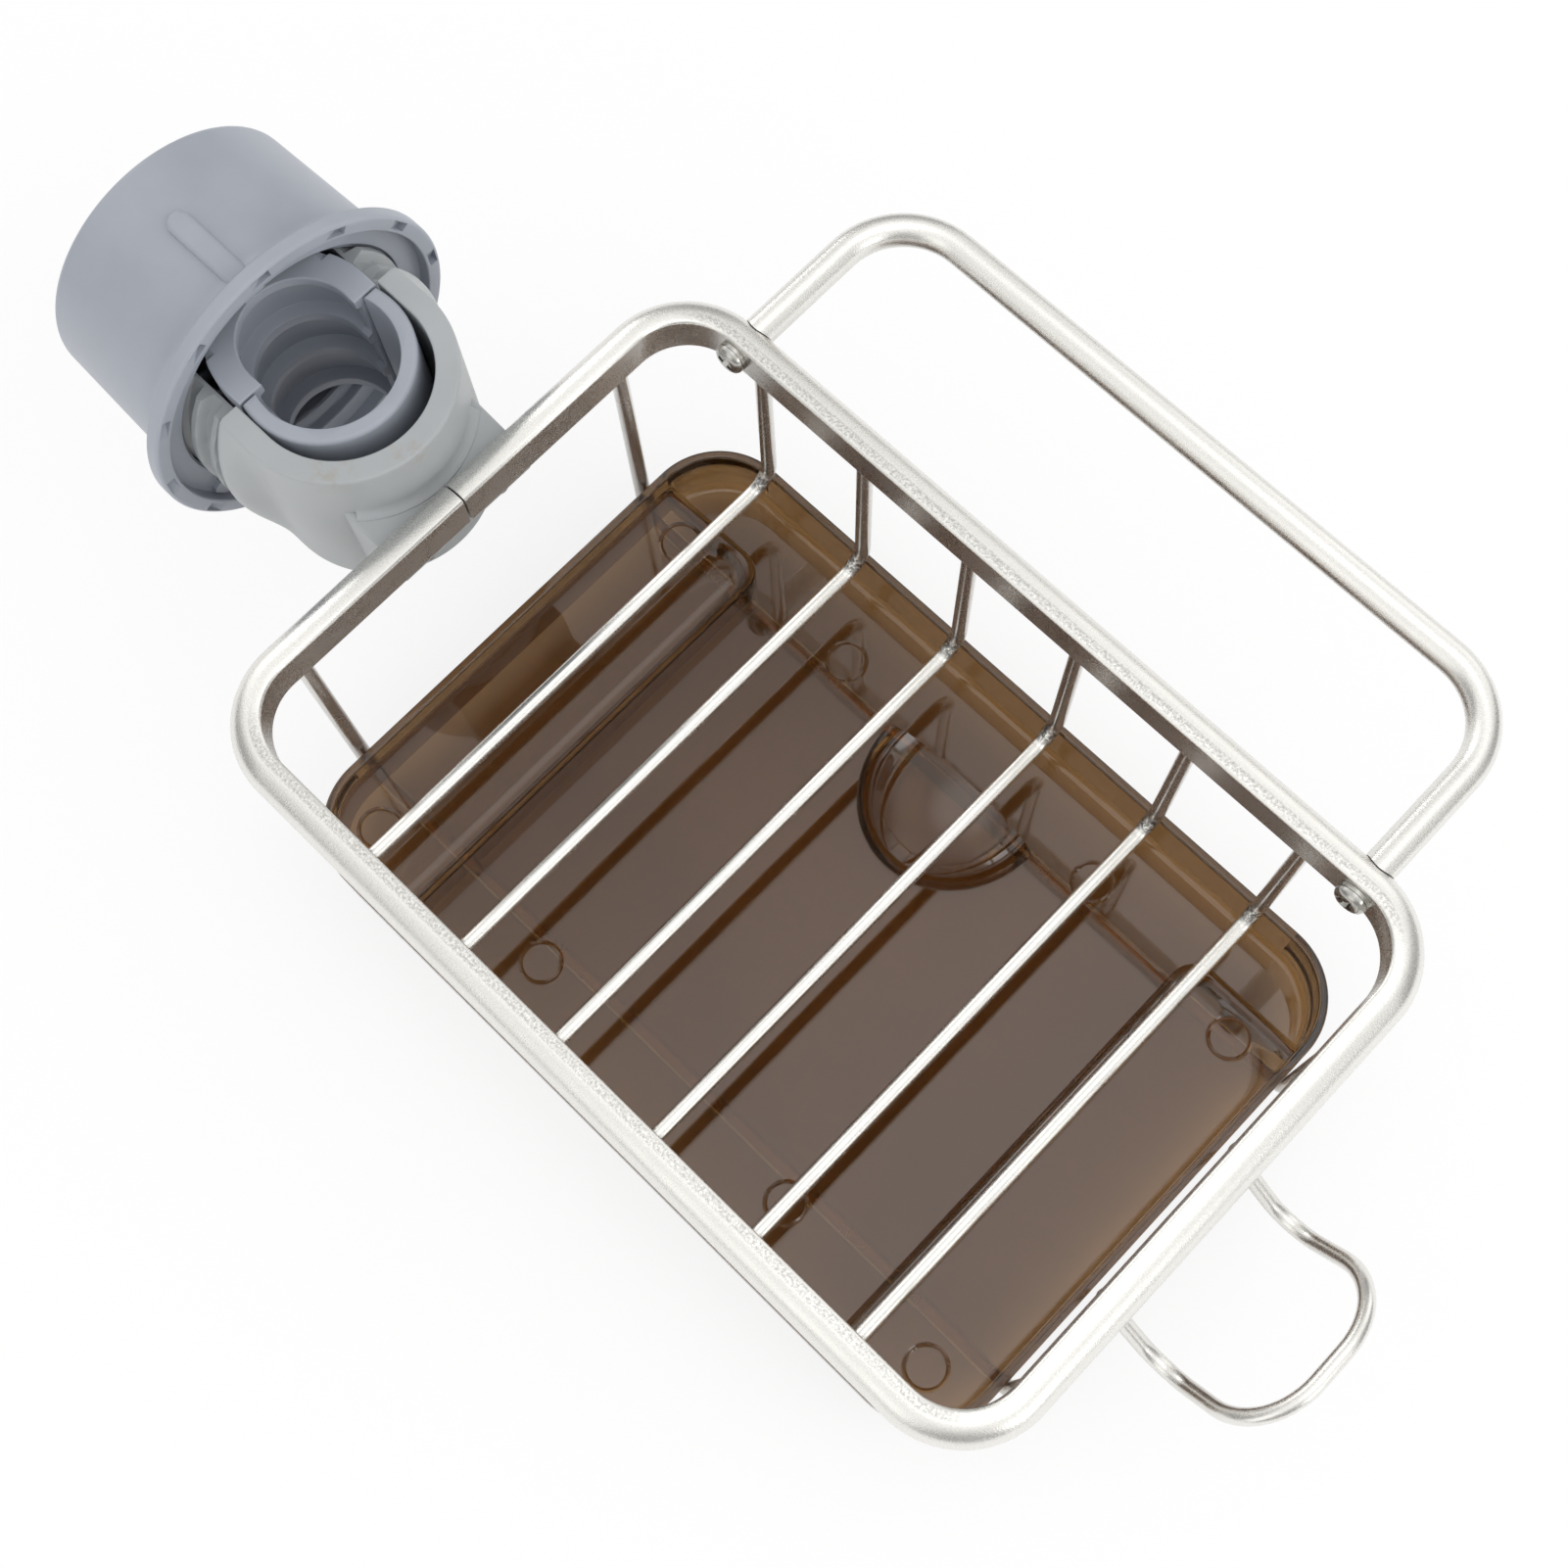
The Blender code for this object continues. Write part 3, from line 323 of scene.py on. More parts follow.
class CaddyFinishes(bpy.types.PropertyGroup):
    """Colours of the caddy and the fineness of its turned shapes"""

    aluminium: colour("Aluminium", "Satin aluminium", (0.84, 0.825, 0.79))
    wire: colour("Wire", "Polished wire", (0.84, 0.825, 0.79))
    steel: colour("Steel", "Bright screws", (0.52, 0.51, 0.48))
    light_plastic: colour("Light Plastic", "The yoke", (0.402, 0.421, 0.432))
    blue_plastic: colour("Blue Plastic", "Cup, jaw and insert", (0.355, 0.380, 0.432))
    stain: colour("Stain", "Faint stains on the yoke", (0.33, 0.27, 0.19))
    smoke: colour("Smoke Plastic", "Translucent tray", (0.30, 0.168, 0.068))
    facets: number("Facets", "Steps round the clamp's turned shapes", 180, 24)


def quarter(steps):
    """Angles of a quarter turn, both ends included."""
    return [pi / 2 * i / steps for i in range(steps + 1)]


def full_turn(steps):
    """Angles of a full turn, its end left out."""
    return [2 * pi * i / steps for i in range(steps)]


def arc(x, y, radius, start, end, steps):
    """Points of an arc, both ends included."""
    angles = [start + (end - start) * i / steps for i in range(steps + 1)]
    return [(x + radius * cos(a), y + radius * sin(a)) for a in angles]


def raised(outline, z):
    """A flat outline at a height."""
    return [Vector((x, y, z)) for x, y in outline]


def turned(along, radius, angle):
    """A point of a shape turned about X."""
    return Vector((along, radius * cos(angle), radius * sin(angle)))


def middle(low, high):
    """The middle of a box."""
    return [(a + b) / 2 for a, b in zip(low, high)]


def link(name, data):
    """An object with this data in the scene."""
    obj = bpy.data.objects.new(name, data)
    bpy.context.scene.collection.objects.link(obj)
    return obj


def skin(name, rings, closed=False):
    """A closed body through rings of equally many points, capped unless the path is closed."""
    bm = bmesh.new()
    loops = [[bm.verts.new(p) for p in ring] for ring in rings]
    pairs = list(zip(loops, loops[1:]))
    if closed:
        pairs.append((loops[-1], loops[0]))
    count = len(loops[0])
    for low, high in pairs:
        for i in range(count):
            j = (i + 1) % count
            bm.faces.new((low[i], low[j], high[j], high[i]))
    if not closed:
        bm.faces.new(loops[0])
        bm.faces.new(loops[-1])
    bmesh.ops.recalc_face_normals(bm, faces=bm.faces)
    mesh = bpy.data.meshes.new(name)
    bm.to_mesh(mesh)
    bm.free()
    return link(name, mesh)


def prism(name, outline, low, high):
    """An upright body over an outline."""
    return skin(name, [raised(outline, z) for z in (low, high)])


def turned_body(name, profile, steps):
    """A body turned about X from a profile of (along, radius)."""
    return skin(name, [[turned(x, r, a) for a in full_turn(steps)] for x, r in profile])


def boolean(obj, tool, operation="DIFFERENCE"):
    """Cuts or joins a tool, keeps the result as the mesh and removes the tool."""
    mod = obj.modifiers.new(tool.name, "BOOLEAN")
    mod.solver = "EXACT"
    mod.operation = operation
    mod.object = tool
    mesh = shown_mesh(obj)
    obj.modifiers.clear()
    obj.data = mesh
    bpy.data.objects.remove(tool, do_unlink=True)


def shown_mesh(obj):
    """A new mesh of what the object's modifiers show."""
    graph = bpy.context.evaluated_depsgraph_get()
    graph.update()
    return bpy.data.meshes.new_from_object(obj.evaluated_get(graph))


def flatten_wide_faces(mesh, width=0.001):
    """Shades wide plane faces flat, so that the rounds beside them don't bend their gloss."""
    for face in mesh.polygons:
        corners = [mesh.vertices[i].co for i in face.vertices]
        girth = sum((a - b).length for a, b in zip(corners, corners[1:] + corners[:1]))
        face.use_smooth = face.area < girth * width


def finish_piece(obj, body, material, nodes, sharp=35):
    """Gives a piece its finish and its body, and hides the solids that it stands for."""
    bm = bmesh.new()
    bm.from_mesh(obj.data)
    bmesh.ops.remove_doubles(bm, verts=bm.verts, dist=1e-6)
    bmesh.ops.recalc_face_normals(bm, faces=bm.faces)
    bm.to_mesh(obj.data)
    bm.free()
    obj.data.materials.clear()
    obj.data.materials.append(material)
    obj.data.shade_smooth()
    obj.data.set_sharp_from_angle(angle=radians(sharp))
    flatten_wide_faces(obj.data)
    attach(obj, body)
    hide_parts(*nodes)


class Nodes:
    """A small hand for wiring a node tree."""

    def __init__(self, tree):
        self.tree = tree

    def add(self, kind, inputs=None, **settings):
        """Adds a node with its settings and inputs."""
        node = self.tree.nodes.new(kind)
        for key, value in settings.items():
            setattr(node, key, value)
        self.feed(node, inputs or {})
        return node

    def feed(self, node, inputs):
        """Links or sets the inputs of a node."""
        for key, value in inputs.items():
            if isinstance(value, bpy.types.NodeSocket):
                self.tree.links.new(value, node.inputs[key])
            else:
                node.inputs[key].default_value = value

    def noise(self, place, scale, detail, **more):
        """The value of a noise texture."""
        inputs = {"Vector": place, "Scale": scale, "Detail": detail, **more}
        return self.add("ShaderNodeTexNoise", inputs).outputs["Fac"]

    def math(self, operation, *values):
        """One step of arithmetic."""
        return self.add("ShaderNodeMath", dict(enumerate(values)), operation=operation).outputs[0]

    def mapped(self, value, start, stop, low=0.0, high=1.0, **settings):
        """A value from start to stop as one from low to high."""
        inputs = {"Value": value, "From Min": start, "From Max": stop, "To Min": low, "To Max": high}
        return self.add("ShaderNodeMapRange", inputs, **settings).outputs["Result"]

    def mixed(self, fac, first, second, **settings):
        """A second colour over a first one, by a factor."""
        inputs = {"Fac": fac, "Color1": first, "Color2": second}
        return self.add("ShaderNodeMixRGB", inputs, **settings).outputs["Color"]

    def bump(self, height, strength, distance):
        """A bump node over a height."""
        return self.add("ShaderNodeBump", {"Height": height, "Strength": strength, "Distance": distance})


def new_material(name):
    """A material, a hand for its nodes and its shader."""
    mat = bpy.data.materials.new(name)
    mat.use_nodes = True
    tree = mat.node_tree
    return mat, Nodes(tree), tree.nodes["Principled BSDF"]


def scaled(base, factor):
    """A colour made lighter or darker."""
    return tuple(min(1.0, c * factor) for c in base)


def tones(n, fac, low, high, start=0.3, stop=0.7):
    """A colour ramp between two tones."""
    ramp = n.add("ShaderNodeValToRGB", {"Fac": fac})
    for element, place, tone in zip(ramp.color_ramp.elements, (start, stop), (low, high)):
        element.position = place
        element.color = (*tone, 1.0)
    return ramp.outputs["Color"]


def near(n, place, centre, inner, outer):
    """One near a point and nought away from it."""
    gap = n.add("ShaderNodeVectorMath", {0: place, 1: centre}, operation="DISTANCE").outputs["Value"]
    return n.mapped(gap, inner, outer, 1.0, 0.0, interpolation_type="SMOOTHSTEP")


def specked(n, place, shade, scale, inner, outer, dark):
    """A shade with small dark specks in it."""
    cells = n.add("ShaderNodeTexVoronoi", {"Vector": place, "Scale": scale, "Randomness": 1.0})
    speck = n.mapped(cells.outputs["Distance"], inner, outer, dark, 1.0)
    return n.mixed(1.0, shade, speck, blend_type="MULTIPLY")


def side_and_height(n, place):
    """How far a place is from the caddy's middle plane, and its height."""
    parts = n.add("ShaderNodeSeparateXYZ", {"Vector": place}).outputs
    return n.math("ABSOLUTE", parts["Y"]), parts["Z"]


def satin_metal(name, base, rough, grain, strength, crease_and_shade=None, crest=None):
    """Satin metal with fine grain, and where given: a speckled painted dark reflection on a crest and crease
    pitting with painted shade near a bend.
    """
    mat, n, bsdf = new_material(name)
    place = n.add("ShaderNodeTexCoord").outputs["Object"]
    fine = n.noise(place, grain, 3.0, Roughness=0.62)
    slow = n.noise(place, 90.0, 2.0)
    tone = tones(n, fine, scaled(base, 0.90), scaled(base, 1.05))
    polish = n.mapped(n.math("ADD", fine, slow), 0.6, 1.4, rough - 0.07, rough + 0.09)
    bump = n.bump(fine, strength, 0.00006)
    # Painted reflection: the flat crest is darkened in a speckled band, as if it mirrored a dark patch
    # overhead
    if crest:
        side, height = side_and_height(n, place)
        grit_and_painted_reflection = n.mapped(n.noise(place, 1900.0, 4.0, Roughness=0.7), 0.40, 0.60, 1.0, 0.1)
        for value, (low, high) in zip((height, side), crest):
            grit_and_painted_reflection = n.math("MULTIPLY", grit_and_painted_reflection, n.mapped(value, low, high))
        tone = n.mixed(grit_and_painted_reflection, tone, (*scaled(base, 0.55), 1.0))
    # Crease pitting inside each bend: bump dents, and painted shade where the pitted patch is darkened to 0.3
    # of the base colour
    if crease_and_shade:
        side, height = side_and_height(n, place)
        folded = n.add("ShaderNodeCombineXYZ", {"Y": side, "Z": height}).outputs[0]
        bend = near(n, folded, (0.0, *crease_and_shade), 0.0008, 0.0026)
        pits_and_shade = n.noise(place, 1100.0, 4.0, Distortion=1.2)
        mask = n.math("MULTIPLY", n.mapped(pits_and_shade, 0.44, 0.56, 1.0, 0.0), bend)
        tone = n.mixed(mask, tone, (*scaled(base, 0.30), 1.0))
        dents = n.bump(n.math("MULTIPLY", pits_and_shade, bend), 0.9, 0.0003)
        n.feed(bump, {"Normal": dents.outputs["Normal"]})
    n.feed(bsdf, {"Base Color": tone, "Roughness": polish, "Normal": bump.outputs["Normal"], "Metallic": 1.0})
    mat.diffuse_color = (*base, 1.0)
    return mat


def moulded_plastic(name, base, rough, edge, stain=None, stained_at=()):
    """Matte moulded plastic: faint spark texture, slow shade change, a few specks and faint stains."""
    mat, n, bsdf = new_material(name)
    place = n.add("ShaderNodeTexCoord").outputs["Object"]
    slow = n.noise(place, 70.0, 4.0, Roughness=0.55)
    fine = n.noise(place, 2600.0, 2.0)
    shade = tones(n, slow, scaled(base, 0.955), scaled(base, 1.03), 0.32, 0.68)
    shade = specked(n, place, shade, 95.0, 0.012, 0.022, 0.62)
    for centre, reach in stained_at:
        blot = n.mapped(n.noise(place, 520.0, 5.0, Roughness=0.6), 0.46, 0.66, 0.0, 0.45)
        mask = n.math("MULTIPLY", blot, near(n, place, centre, reach * 0.2, reach))
        shade = n.mixed(mask, shade, (*stain, 1.0))
    bump = n.bump(fine, 0.25, 0.00003)
    bevel = n.add("ShaderNodeBevel", {"Radius": edge}, samples=4)
    n.feed(bump, {"Normal": bevel.outputs["Normal"]})
    n.feed(bsdf, {"Base Color": shade, "Roughness": n.mapped(slow, 0.3, 0.7, rough - 0.05, rough + 0.07),
                  "Normal": bump.outputs["Normal"], "Specular IOR Level": 0.5})
    mat.diffuse_color = (*base, 1.0)
    return mat


def smoke_plastic(name, base):
    """Clear tinted plastic with a faint flow pattern, dust and handling marks in its gloss."""
    mat, n, bsdf = new_material(name)
    place = n.add("ShaderNodeTexCoord").outputs["Object"]
    flow = n.noise(place, 16.0, 3.0, Distortion=0.6)
    tint = tones(n, flow, scaled(base, 0.92), scaled(base, 1.05))
    tint = specked(n, place, tint, 70.0, 0.008, 0.016, 0.25)
    wear = n.noise(place, 240.0, 5.0, Roughness=0.7)
    bump = n.bump(n.noise(place, 55.0, 1.0), 0.08, 0.0004)
    n.feed(bsdf, {"Base Color": tint, "Roughness": n.mapped(wear, 0.35, 0.8, 0.02, 0.07),
                  "Normal": bump.outputs["Normal"], "Transmission Weight": 0.96, "IOR": 1.49,
                  "Specular IOR Level": 1.0, "Coat Weight": 0.25, "Coat IOR": 1.6, "Coat Roughness": 0.02})
    mat.diffuse_color = (*base, 0.8)
    return mat


FINISHES = {}


def finishes():
    """The caddy's materials, made once from the colours in the panel."""
    if not FINISHES:
        c = bpy.context.scene.caddy_finishes
        rim = bpy.context.scene.caddy_rim
        aluminium, wire, steel = tuple(c.aluminium), tuple(c.wire), tuple(c.steel)
        light, blue, smoke = tuple(c.light_plastic), tuple(c.blue_plastic), tuple(c.smoke)
        # The rails' flat crest, where the aluminium gets its speckled painted dark reflection
        crest = ((RIM_HIGH.z - 0.00005, RIM_HIGH.z - 0.00001),
                 (RIM_HIGH.y - 1.6 * rim.bar_depth, RIM_HIGH.y - rim.bar_depth))
        low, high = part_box(CROSS_WIRES[0])
        bend = rim.cross_bend * 0.70
        stained_at = (((0.0165, -0.0135, 0.020), 0.006), ((0.0235, -0.0020, 0.019), 0.005))
        FINISHES["aluminium"] = satin_metal("satin_aluminium", aluminium, rough=0.27, grain=3600.0,
                                            strength=0.60, crest=crest)
        FINISHES["wire"] = satin_metal("polished_wire", wire, rough=0.24, grain=3600.0, strength=0.30)
        # Basket wires: crease pitting with painted shade inside their bends
        FINISHES["bent"] = satin_metal("creased_wire", wire, rough=0.24, grain=3600.0, strength=0.30,
                                       crease_and_shade=(high.y - bend, low.z + bend))
        FINISHES["steel"] = satin_metal("bright_steel", steel, rough=0.20, grain=3000.0, strength=0.12)
        FINISHES["light"] = moulded_plastic("light_grey_plastic", light, rough=0.38, edge=0.00025,
                                            stain=tuple(c.stain), stained_at=stained_at)
        FINISHES["blue"] = moulded_plastic("blue_grey_plastic", blue, rough=0.36, edge=0.00025)
        FINISHES["smoke"] = smoke_plastic("smoke_brown_plastic", smoke)
    return FINISHES


def new_tree(name, sockets):
    """A Geometry Nodes tree with a geometry input and output and named inputs."""
    tree = bpy.data.node_groups.new(name, "GeometryNodeTree")
    tree.interface.new_socket("Geometry", in_out="INPUT", socket_type="NodeSocketGeometry")
    tree.interface.new_socket("Geometry", in_out="OUTPUT", socket_type="NodeSocketGeometry")
    for label, kind in sockets.items():
        tree.interface.new_socket(label, in_out="INPUT", socket_type="NodeSocket" + kind)
    n = Nodes(tree)
    return tree, n, n.add("NodeGroupInput").outputs


def close_tree(n, source, geometry):
    """Ends a tree in Realize Instances and Set Material."""
    real = n.add("GeometryNodeRealizeInstances", {"Geometry": geometry}).outputs["Geometry"]
    paint = n.add("GeometryNodeSetMaterial", {"Geometry": real, "Material": source["Material"]})
    n.add("NodeGroupOutput", {"Geometry": paint.outputs["Geometry"]})


def run_tree(name, base, tree, values):
    """Runs a tree on a base object and returns the result as a plain mesh object."""
    mod = base.modifiers.new(tree.name, "NODES")
    mod.node_group = tree
    for item in tree.interface.items_tree:
        if item.item_type == "SOCKET" and item.in_out == "INPUT" and item.name in values:
            mod[item.identifier] = values[item.name]
    mesh = shown_mesh(base)
    bpy.data.objects.remove(base, do_unlink=True)
    return link(name, mesh)


def wire_tree():
    """Round wire along a polyline: its corners filleted, swept, capped and repeated in a row."""
    name = "Bent Wire Row"
    if name in bpy.data.node_groups:
        return bpy.data.node_groups[name]
    tree, n, source = new_tree(name, {"Radius": "Float", "Sides": "Int", "Bend Steps": "Int", "Count": "Int",
                                      "Pitch": "Float", "Row": "Vector", "Material": "Material"})
    bends = n.add("GeometryNodeInputRadius").outputs["Radius"]
    path = n.add("GeometryNodeFilletCurve", {"Curve": source["Geometry"], "Count": source["Bend Steps"],
                                             "Radius": bends}, mode="POLY").outputs["Curve"]
    even = n.add("GeometryNodeSetCurveRadius", {"Curve": path, "Radius": 1.0}).outputs["Curve"]
    ring = n.add("GeometryNodeCurvePrimitiveCircle", {"Resolution": source["Sides"],
                                                      "Radius": source["Radius"]})
    swept = n.add("GeometryNodeCurveToMesh", {"Curve": even, "Profile Curve": ring.outputs["Curve"],
                                              "Fill Caps": True})
    step = n.add("ShaderNodeVectorMath", {0: source["Row"], "Scale": source["Pitch"]}, operation="SCALE")
    places = n.add("GeometryNodeMeshLine", {"Count": source["Count"], "Offset": step.outputs["Vector"]},
                   mode="OFFSET")
    copies = n.add("GeometryNodeInstanceOnPoints", {"Points": places.outputs["Mesh"],
                                                    "Instance": swept.outputs["Mesh"]})
    close_tree(n, source, copies.outputs["Instances"])
    return tree


def bent_wire(name, corners, bends, diameter, sides=WIRE_SIDES, count=1, pitch=0.0, row=(1.0, 0.0, 0.0)):
    """A wire through corner points; bends gives the radius at each inner corner."""
    curve = bpy.data.curves.new(name, "CURVE")
    curve.dimensions = "3D"
    spline = curve.splines.new("POLY")
    spline.points.add(len(corners) - 1)
    for point, place in zip(spline.points, corners):
        point.co = (*place, 1.0)
        point.radius = 0.0
    for point, bend in zip(list(spline.points)[1:], bends):
        point.radius = bend
    return run_tree(name, link(name + "_path", curve), wire_tree(), {
        "Radius": diameter / 2, "Sides": sides, "Bend Steps": BEND_STEPS, "Count": count, "Pitch": pitch,
        "Row": row, "Material": finishes()["wire"]})


def ring_tree():
    """Copies of a shape turned about X at even angles."""
    name = "Copies Round The Axis"
    if name in bpy.data.node_groups:
        return bpy.data.node_groups[name]
    tree, n, source = new_tree(name, {"Count": "Int", "Start": "Float", "Material": "Material"})
    places = n.add("GeometryNodeMeshLine", {"Count": source["Count"], "Offset": (0.0, 0.0, 0.0)},
                   mode="OFFSET")
    index = n.add("GeometryNodeInputIndex").outputs[0]
    turn = n.math("MULTIPLY_ADD", n.math("DIVIDE", index, source["Count"]), 2 * pi, source["Start"])
    about_x = n.add("ShaderNodeCombineXYZ", {"X": turn}).outputs[0]
    copies = n.add("GeometryNodeInstanceOnPoints", {"Points": places.outputs["Mesh"],
                                                    "Instance": source["Geometry"], "Rotation": about_x})
    close_tree(n, source, copies.outputs["Instances"])
    return tree


def ring_of(name, shape, count, start):
    """Runs the ring tree on a shape."""
    return run_tree(name, shape, ring_tree(), {
        "Count": count, "Start": start, "Material": finishes()["blue"]})


def point_tree():
    """A shape set at each point of a mesh, turned by one rotation."""
    name = "Shape At Points"
    if name in bpy.data.node_groups:
        return bpy.data.node_groups[name]
    tree, n, source = new_tree(name, {"Shape": "Object", "Turn": "Vector", "Material": "Material"})
    shape = n.add("GeometryNodeObjectInfo", {"Object": source["Shape"]}).outputs["Geometry"]
    copies = n.add("GeometryNodeInstanceOnPoints", {"Points": source["Geometry"], "Instance": shape,
                                                    "Rotation": source["Turn"]})
    close_tree(n, source, copies.outputs["Instances"])
    return tree


def at_points(name, shape, points, turn=(0.0, 0.0, 0.0)):
    """Sets a shape at points as one piece, and removes the shape."""
    mesh = bpy.data.meshes.new(name)
    mesh.from_pydata([tuple(p) for p in points], [], [])
    made = run_tree(name, link(name + "_places", mesh), point_tree(), {
        "Shape": shape, "Turn": turn, "Material": finishes()["steel"]})
    bpy.data.objects.remove(shape, do_unlink=True)
    return made


def rim_section(rim, grow=0.0):
    """The D: (out from the inner flat face, up), with its round side outwards and its arrises eased."""
    half = (RIM_HIGH.z - RIM_LOW.z) / 2
    bulge = rim.bar_depth - rim.bar_flat
    ease = rim.arris
    points = arc(ease - grow, -half + ease - grow, ease, pi, 3 * pi / 2, ARRIS_STEPS)
    points += [(rim.bar_flat + (bulge + grow) * cos(a), (half + grow) * sin(a))
               for a in (-pi / 2 + pi * i / SECTION_STEPS for i in range(SECTION_STEPS + 1))]
    points += arc(ease - grow, half - ease + grow, ease, pi / 2, pi, ARRIS_STEPS)
    return points


def rim_room(rim, grow):
    """The space that the rim takes up, a little larger all round."""
    return skin("rim_room", rim_rings(rim_section(rim, grow), rim, 0), closed=True)


def rim_rings(section, rim, seam):
    """Sections round the rim's path; a seam leaves its two ends apart and a little drawn in."""
    half_x = (RIM_HIGH.x - RIM_LOW.x) / 2 - rim.bar_depth
    half_y = (RIM_HIGH.y - RIM_LOW.y) / 2 - rim.bar_depth
    half_z = 0.004
    radius = rim.corner - rim.bar_depth
    ends = [(-seam / 2, SEAM_DRAW), (-seam / 2 - SEAM_EASE, 0.0)] if seam else []
    stations = [(-half_x, y, pi, draw) for y, draw in ends]
    for k, (sx, sy) in enumerate(((-1, -1), (1, -1), (1, 1), (-1, 1))):
        for turn in quarter(CORNER_STEPS):
            a = pi + k * pi / 2 + turn
            x = sx * (half_x - radius) + radius * cos(a)
            y = sy * (half_y - radius) + radius * sin(a)
            stations.append((x, y, a, 0.0))
    stations += [(-half_x, -y, pi, draw) for y, draw in reversed(ends)]
    rings = []
    for x, y, a, draw in stations:
        shrink = 1 - draw / half_z
        outline = [(u * shrink + draw, v * shrink) for u, v in section]
        rings.append([Vector((RIM_X + x + u * cos(a), y + u * sin(a), RIM_Z + v)) for u, v in outline])
    return rings


class CADDY_OT_rim(bpy.types.Operator):
    """Make the rim's D-section bar with its butt seam"""

    bl_idname = "caddy.rim"
    bl_label = "Rim"

    def execute(self, context):
        rim = context.scene.caddy_rim
        obj = skin("rim_bar", rim_rings(rim_section(rim), rim, rim.seam))
        finish_piece(obj, "frame", finishes()["aluminium"], ["rim_rail"], sharp=50)
        return {"FINISHED"}


class CADDY_OT_wires(bpy.types.Operator):
    """Make the basket wires, the tray runners and the hook loop"""

    bl_idname = "caddy.wires"
    bl_label = "Wires"

    def execute(self, context):
        rim = context.scene.caddy_rim
        low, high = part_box(CROSS_WIRES[0])
        last = middle(*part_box(CROSS_WIRES[-1]))[0]
        first = middle(low, high)[0]
        count = len(CROSS_WIRES)
        leg = high.y - rim.cross_wire / 2
        bottom = low.z + rim.cross_wire / 2
        top = RIM_Z - rim.hold
        corners = [(first, -leg, top), (first, -leg, bottom), (first, leg, bottom), (first, leg, top)]
        obj = bent_wire("basket_wires", corners, [rim.cross_bend] * 2, rim.cross_wire, count=count,
                        pitch=(last - first) / (count - 1))
        finish_piece(obj, "frame", finishes()["bent"], CROSS_WIRES, sharp=60)

        runners = ["tray_runner_front", "tray_runner_back"]
        low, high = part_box(runners[1])
        x0, x1 = low.x + rim.runner / 2, high.x - rim.runner / 2
        bottom = low.z + rim.runner / 2
        y = -rim.runner_span / 2
        corners = [(x0, y, top), (x0, y, bottom), (x1, y, bottom), (x1, y, top)]
        obj = bent_wire("tray_runners", corners, [rim.runner_bend] * 2, rim.runner, count=len(runners),
                        pitch=rim.runner_span, row=(0.0, 1.0, 0.0))
        finish_piece(obj, "frame", finishes()["wire"], runners, sharp=60)

        low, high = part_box("hook_loop")
        half = high.y - rim.hook / 2
        x = low.x + rim.hook / 2
        side = [(x, half, top), (x, half, RIM_Z - rim.hook_fall),
                (x + rim.hook_foot, half, RIM_Z - rim.hook_depth),
                (x + rim.hook_reach, half, RIM_Z - rim.hook_rise)]
        corners = side + [(a, -b, c) for a, b, c in reversed(side)]
        foot, nose = [rim.hook_bend] * 2, [rim.hook_nose] * 2
        obj = bent_wire("hook_wire", corners, foot + nose + foot, rim.hook)
        finish_piece(obj, "frame", finishes()["wire"], ["hook_loop"], sharp=60)
        return {"FINISHED"}


class CADDY_OT_towel_bar(bpy.types.Operator):
    """Make the bent towel bar"""

    bl_idname = "caddy.towel_bar"
    bl_label = "Towel Bar"

    def execute(self, context):
        rim = context.scene.caddy_rim
        low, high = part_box("towel_bar")
        x0, x1 = low.x + rim.towel / 2, high.x - rim.towel / 2
        run = high.y - rim.towel / 2
        z = middle(low, high)[2]
        start = RIM_HIGH.y - rim.bar_depth / 3
        corners = [(x0, start, z), (x0, run, z), (x1, run, z), (x1, start, z)]
        obj = bent_wire("towel_bar_tube", corners, [rim.towel_bend] * 2, rim.towel, sides=BAR_SIDES)
        boolean(obj, rim_room(rim, rim.joint))
        finish_piece(obj, "frame", finishes()["aluminium"], ["towel_bar"], sharp=60)
        return {"FINISHED"}


def pan_screw(name, head_r, head_h, shank_r, length, washer=0.0):
    """A cross-head pan screw along X: its seat at zero, the head towards -X, the shank towards +X."""
    # The crown from its top down, as shares of the head's height and radius
    curve = ((1.0, 0.05), (1.0, 0.30), (0.985, 0.50), (0.93, 0.70), (0.80, 0.87), (0.60, 0.97), (0.38, 1.0))
    profile = [(-head_h * high, head_r * wide) for high, wide in curve]
    profile.append((-washer - HAIR * 1.2, head_r * 0.985))
    if washer:
        neck = head_r * 0.90
        profile += [(-washer - HAIR, neck), (-washer, neck), (-washer, head_r), (-HAIR / 2, head_r)]
    profile += [(0.0, head_r * 0.94), (0.0, shank_r), (length - shank_r, shank_r), (length, shank_r * 0.25)]
    screw = turned_body(name, profile, SCREW_SIDES)
    wide, reach = head_r * 0.17, head_r * 0.62
    for turn in (0.0, pi / 2):
        rings = []
        for depth, narrowing in ((-head_h * 1.2, 1.0), (-head_h * 0.25, 0.45)):
            end = reach * narrowing
            corners = [(wide, end), (-wide, end), (-wide, -end), (wide, -end)]
            rings.append([Matrix.Rotation(turn, 3, "X") @ Vector((depth, a, b)) for a, b in corners])
        boolean(screw, skin("cross_slot", rings))
    return screw


